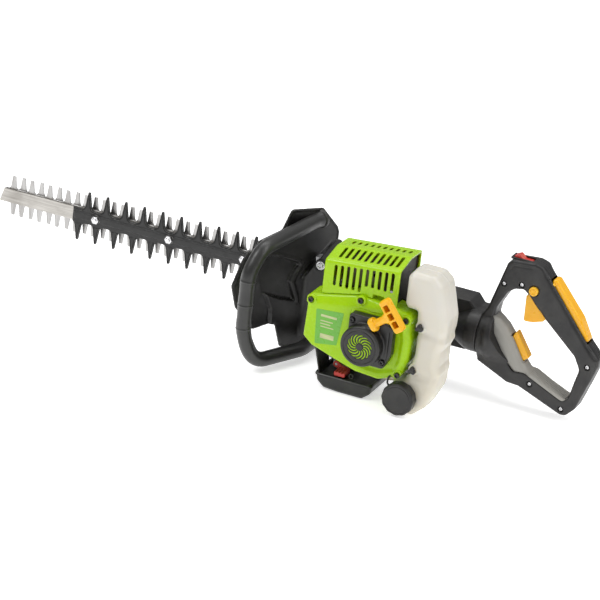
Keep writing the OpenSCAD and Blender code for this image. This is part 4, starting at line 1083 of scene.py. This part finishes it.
def shield():
    carve("shield_moulding", shield_field, (-266, -164, -117), (-112, 30, 139), 1.35,
          "machine", "moulded_black", ["hand_shield"])
    bolts = [shield_bolt(k, z) for k, z in enumerate(SHIELD_BOLT_Z)]
    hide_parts("shield_bolts")


# ---- rear frame and handle ---------------------------------------------------------------

MID_Y = -34
FRAME_SIDE = rounded([(60, -38, 3), (112, -38, 5), (122, -35, 4), (139, -34, 0), (139, 34, 0),
                      (124, 34, 4), (112, 48, 5), (60, 48, 3)])
GRIP = rounded([
    (139.6, -36, 0), (141, -44, 4), (196, -69, 12), (216, -70, 12), (292, -100, 12), (302, -99, 8),
    (316, -84, 12), (344, -4, 8), (344, 9, 10), (324, 30, 20), (247.5, 124, 6), (233, 141, 8),
    (218, 145, 10), (179, 142, 5), (171.5, 134, 5), (148, 52, 10), (139.6, 36, 0)])
OPENING = rounded([
    (160, 34, 14), (162.5, 10, 14), (179, -17, 14), (204, -46, 10), (224, -43, 12), (294, -74.5, 8),
    (303, -64, 10), (313, -16.5, 16), (302, 4.5, 14), (245, 54.5, 20), (215, 88.5, 10), (204, 96.5, 8),
    (189.5, 93.5, 10), (178, 85, 12), (163, 55, 12)])
PILLOW = rounded([(150, 46, 4), (168, 36, 6), (182, 25, 10), (199, 4, 14), (217, -27, 12), (228, -40, 6),
                  (262, -57, 4), (297, -72, 4), (303, -64, 4), (310, -76, 4), (297, -84, 3), (262, -68, 3),
                  (224, -53, 8), (204, -52, 8), (176, -26, 10), (154, 8, 8)])
TRIGGER = rounded([(206, 82, 3), (207, 38.5, 4), (224, 40.5, 10), (240, 46, 4), (254, 66, 5),
                   (238, 97, 5), (216, 98, 5)])
LEVER = rounded([(245, 112, 3), (250, 105, 3), (300, 52, 6), (313, 32, 3), (322, 34, 3),
                 (304, 68, 30), (256, 124, 6), (250, 124, 3)])
LOCK = rounded([(189, 0, 2), (199, 20, 3), (226, -21, 3), (214, -30, 2)])
ROCKER = rounded([(178, 136, 1), (208, 136, 1), (209, 142, 2), (195, 142, 3), (187, 150, 2), (178, 146, 2)])
HOLD_AT = (222, 99)
GRIP_SCREWS = [(170, 98.5), (200, 104), (327, -6.5), (235, -61), (293, -89.5)]


def frame_field(x, y, z):
    side = within(FRAME_SIDE, x, z)
    body = both(side, band(y, -38, 8), 1.6)
    barrel = both(ring(y, z, MID_Y, 0, 34.5), 112 - x, 16)
    barrel = meet(barrel, x - 139)
    cone = meet(np.hypot(y - MID_Y, z) - 34.5 + 0.5 * np.maximum(118 - x, 0), band(x, 92, 139))
    body = either(np.minimum(body, cone), barrel, 3)
    foot = both(band(x, 60, 66), both(band(y, -38, 8), band(z, -46, 56), 2), 1)
    body = either(body, foot, 2)
    body = meet(body, x - 139)
    body = meet(body, -meet(band(x, 68, 92), band(y, -35, 5), band(z, -34, 44)))
    return meet(body, -meet(ring(y, z, MID_Y, 0, 16.1), 94 - x))


def grip_field(x, y, z):
    outer, inner = within(GRIP, x, z), within(OPENING, x, z)
    across = np.abs(y - MID_Y)
    arm = smooth((x - 226) / 16) * smooth((z + 40) / 30)
    body = meet(both(outer, across - 18, 4 + 6 * arm), both(-inner, across - 18, 4 + 4 * arm))
    hub = both(ring(y, z, MID_Y, 0, 37.5), band(x, 139.6, 166), 4)
    drooping = np.hypot(y - MID_Y, z + 0.35 * (x - 150))
    cone = both(drooping - 38 + 0.40 * np.maximum(x - 156, 0), band(x, 150, 206), 8)
    hub = meet(either(hub, meet(cone, outer), 6), -inner - 1)
    body = either(body, hub, 6)
    line = meet(np.abs(outer + 9.5) - 0.6, 17.2 - across, 126 - z)
    body = without(body, meet(line, x - 216), 0.4)
    hollow = both(meet(outer, -inner) + 3, across - 15, 2)
    body = meet(body, -hollow)
    for sx, sz in GRIP_SCREWS:
        body = either(body, meet(ring(x, z, sx, sz, 7.2), band(across, 9, 17.6)), 0.8)
        body = without(body, meet(ring(x, z, sx, sz, 4.9), 13.4 - across), 0.7)
    return cut_controls(body, x, y, z, across)


def cut_controls(body, x, y, z, across):
    """Makes room in the handle for its trigger, lever, buttons and switch."""
    body = without(body, meet(within(LEVER, x, z) - 1.2, across - 12), 0.5)
    swing = [(238, 112), (312, 26), (330, 36), (252, 132)]
    body = without(body, meet(within(swing, x, z), across - 12), 0.5)
    sweep_room = [(204, 78), (213, 103), (241, 103), (262, 74), (252, 44), (236, 36), (203, 34)]
    body = without(body, meet(within(sweep_room, x, z), across - 7.6), 0.5)
    body = meet(body, -meet(band(x, 176, 211), across - 8.2, 130 - z))
    body = without(body, meet(ring(x, z, *HOLD_AT, 8.1), y + 45.5), 0.8)
    body = meet(body, -meet(within(PILLOW, x, z) + 1.2, across - 16.4))
    return meet(body, -meet(ring(y, z, MID_Y, 0, 16.4), x - 170))


def insert_field(x, y, z):
    """The soft moulding on the inside of the grip: a pillow for the lock button, then a ribbed strip."""
    across = np.abs(y - MID_Y)
    strip = smooth((x - 226) / 12)
    body = both(within(PILLOW, x, z), across - 17.2, 12 - 9.5 * strip)
    groove = meet(np.abs((y - MID_Y + 2.75) % 5.5 - 2.75) - 0.8, -1.1 - body)
    body = without(body, meet(groove, 232 - x) + 50 * (across > 14), 0.3)
    pad = within(LOCK, x, z)
    travel = np.minimum(np.minimum(pad, within(LOCK, x + 1.3, z + 0.8)), within(LOCK, x + 2.7, z + 1.65))
    body = without(body, meet(travel - 0.9, across - 8.4), 0.6)
    rim = np.abs(both(pad - 3, across - 10.6, 2)) - 0.5
    return without(body, meet(rim, 0.3 - np.abs(body)), 0.2)


def grip():
    low, high = (136, -75, -104), (348, 8, 149)
    carve("handle_half_near", lambda x, y, z: both(grip_field(x, y, z), y - MID_Y + 0.2, 0.6),
          low, (high[0], MID_Y + 2, high[2]), 1.0, "rear_handle", "handle_black", ["handle_shell_left"])
    carve("handle_half_far", lambda x, y, z: both(grip_field(x, y, z), MID_Y + 0.2 - y, 0.6),
          (low[0], MID_Y - 2, low[2]), high, 1.0, "rear_handle", "handle_black", ["handle_shell_right"])
    carve("grip_insert", insert_field, (146, -54, -88), (314, -14, 50), 0.8, "rear_handle", "grip_rubber",
          finish=FINISHES["soft_insert"])
    carve("rear_frame_moulding", frame_field, (57, -72, -50), (141, 12, 60), 1.0, "machine",
          "handle_black", ["rear_frame"])


def cross_screw(name, x, z):
    """A bright pan-head screw with a cross recess."""
    def field(u, y, w):
        head = both(ring(u, w, x, z, 3.5), band(y, -51.0, -47.4), 1.5)
        a, b = np.abs(u - x), np.abs(w - z)
        cross = np.minimum(meet(a - 0.55, b - 2.2), meet(b - 0.55, a - 2.2))
        return without(head, meet(cross, y + 49.4), 0.15)
    return carve(name, field, (x - 5, -53, z - 5), (x + 5, -47, z + 5), 0.3, "rear_handle", "bolt_steel")


def controls():
    def slab(outline, half, edge):
        return lambda x, y, z: both(within(outline, x, z), np.abs(y - MID_Y) - half, edge)

    def lever_field(x, y, z):
        body = slab(LEVER, 11, 2.8)(x, y, z)
        return np.minimum(body, meet(ring(x, z, 252, 116, 2.5), np.abs(y - MID_Y) - 14))

    def trigger_field(x, y, z):
        body = slab(TRIGGER, 6.5, 2.2)(x, y, z)
        return np.minimum(body, meet(ring(x, z, 232, 92, 2.5), np.abs(y - MID_Y) - 14))

    carve("trigger_blade", trigger_field, (203, -50, 36), (257, -18, 101), 0.6,
          "trigger_body", "orange_plastic", ["trigger"])
    carve("palm_bar", lever_field, (242, -50, 29), (325, -18, 127), 0.6,
          "palm_lever_body", "orange_plastic", ["palm_lever"])
    carve("lock_pad", slab(LOCK, 7.5, 1.4), (186, -44, -33), (229, -24, 23), 0.5,
          "lock_button_body", "orange_plastic", ["lock_button"])
    carve("rocker", slab(ROCKER, 7, 0.9), (176, -43, 134), (211, -25, 152), 0.4,
          "stop_switch_body", "red_plastic", ["stop_switch"])
    profile = [(0.5, 0.3), (0.2, 3.0), (0, 3.8), (0.6, 4.2), (0.6, 4.9), (0, 5.3), (0.1, 6.6), (0.5, 7.3),
               (1.2, 7.5), (5, 7.5), (5, 0.3)]
    cap = lathe(profile, (HOLD_AT[0], -56.5, HOLD_AT[1]), ALONG_Y)
    piece("hold_button_cap", *cap, "hold_button_body", "orange_plastic", ["hold_button"], crease=35)
    for k, (x, z) in enumerate(GRIP_SCREWS):
        screw = cross_screw(f"handle_screw_{k}", x, z)
    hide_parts("handle_screws")


def bezel():
    """The dark frame around the rocker switch."""
    def field(x, y, z):
        outer = both(both(band(x, 173.5, 213.5), np.abs(y - MID_Y) - 11, 2), band(z, 141.2, 144.6), 0.8)
        hole = meet(band(x, 176.4, 211), np.abs(y - MID_Y) - 7.6)
        return without(outer, hole, 0.5)
    carve("switch_bezel", field, (171, -48, 139), (216, -20, 147), 0.5, "rear_handle", "moulded_black")


# ---- camera, light and floor -------------------------------------------------------------


def camera():
    """A long lens far away, from the starter's side and a little above, as in the photograph."""
    turn, down, roll = (math.radians(a) for a in (22.1, 22.8, 6.2))
    distance, aim_right, aim_up = 5500, -184, 6
    ahead = Vector((-math.sin(turn) * math.cos(down), math.cos(turn) * math.cos(down), -math.sin(down)))
    right = Vector((math.cos(turn), math.sin(turn), 0))
    up = right.cross(ahead)
    right, up = (right * math.cos(roll) + up * math.sin(roll), up * math.cos(roll) - right * math.sin(roll))
    data = bpy.data.cameras.new("camera")
    data.sensor_width = 36
    data.lens = 200.82
    data.clip_end = 100
    made = bpy.data.objects.new("camera", data)
    place = right * aim_right + up * aim_up - ahead * distance
    turned = Matrix((right, up, -ahead)).transposed().to_4x4()
    made.matrix_world = Matrix.Translation(Vector(to_frame(place))) @ turned
    bpy.context.scene.collection.objects.link(made)
    bpy.context.scene.camera = made


def area_light(name, place, target, size, power):
    data = bpy.data.lights.new(name, "AREA")
    data.shape = "RECTANGLE"
    data.size, data.size_y = size
    data.energy = power
    made = bpy.data.objects.new(name, data)
    made.location = place
    made.rotation_mode = "QUATERNION"
    made.rotation_quaternion = (Vector(target) - Vector(place)).to_track_quat("-Z", "Y")
    bpy.context.scene.collection.objects.link(made)


def studio():
    """A white floor under soft light, brightest from above."""
    world = bpy.data.worlds.new("studio")
    world.use_nodes = True
    tree = world.node_tree
    place = tree.nodes.new("ShaderNodeTexCoord")
    split = tree.nodes.new("ShaderNodeSeparateXYZ")
    tree.links.new(place.outputs["Generated"], split.inputs["Vector"])
    rise = tree.nodes.new("ShaderNodeMapRange")
    for k, number in enumerate((0.05, 0.9, 0.24, 0.76)):
        rise.inputs[k + 1].default_value = number
    tree.links.new(split.outputs["Z"], rise.inputs[0])
    tree.links.new(rise.outputs[0], tree.nodes["Background"].inputs["Strength"])
    tree.nodes["Background"].inputs["Color"].default_value = (1, 1, 1, 1)
    bpy.context.scene.world = world
    bpy.context.scene.view_settings.view_transform = "Standard"
    area_light("key", (-0.9, -1.2, 1.7), (0, 0, 0.1), (0.9, 0.9), 17)
    area_light("strip", (1.5, -0.2, 1.2), (0.1, 0, 0.1), (0.3, 1.6), 9.5)
    area_light("top", (0.0, 0.3, 1.9), (0, 0, 0.1), (1.8, 0.5), 11)
    mesh = bpy.data.meshes.new("floor")
    reach = 30
    mesh.from_pydata([(-reach, -reach, 0), (reach, -reach, 0), (reach, reach, 0), (-reach, reach, 0)],
                     [], [(0, 1, 2, 3)])
    paint = Finish("floor_paint", (250, 250, 250), 0.9, Emission_Color=(1, 1, 1, 1),
                   Emission_Strength=0.52, Specular_IOR_Level=0.1)
    paint.gloss(paint.span(paint.noise(3, 2), 0.3, 0.7, 0.85, 0.95))
    mesh.materials.append(paint.made)
    floor = bpy.data.objects.new("floor", mesh)
    bpy.context.scene.collection.objects.link(floor)


camera()
studio()
dress_nodes()
blade()
covers()
pull()
fuel()
intake()
loop_handle()
shield()
grip()
controls()
bezel()
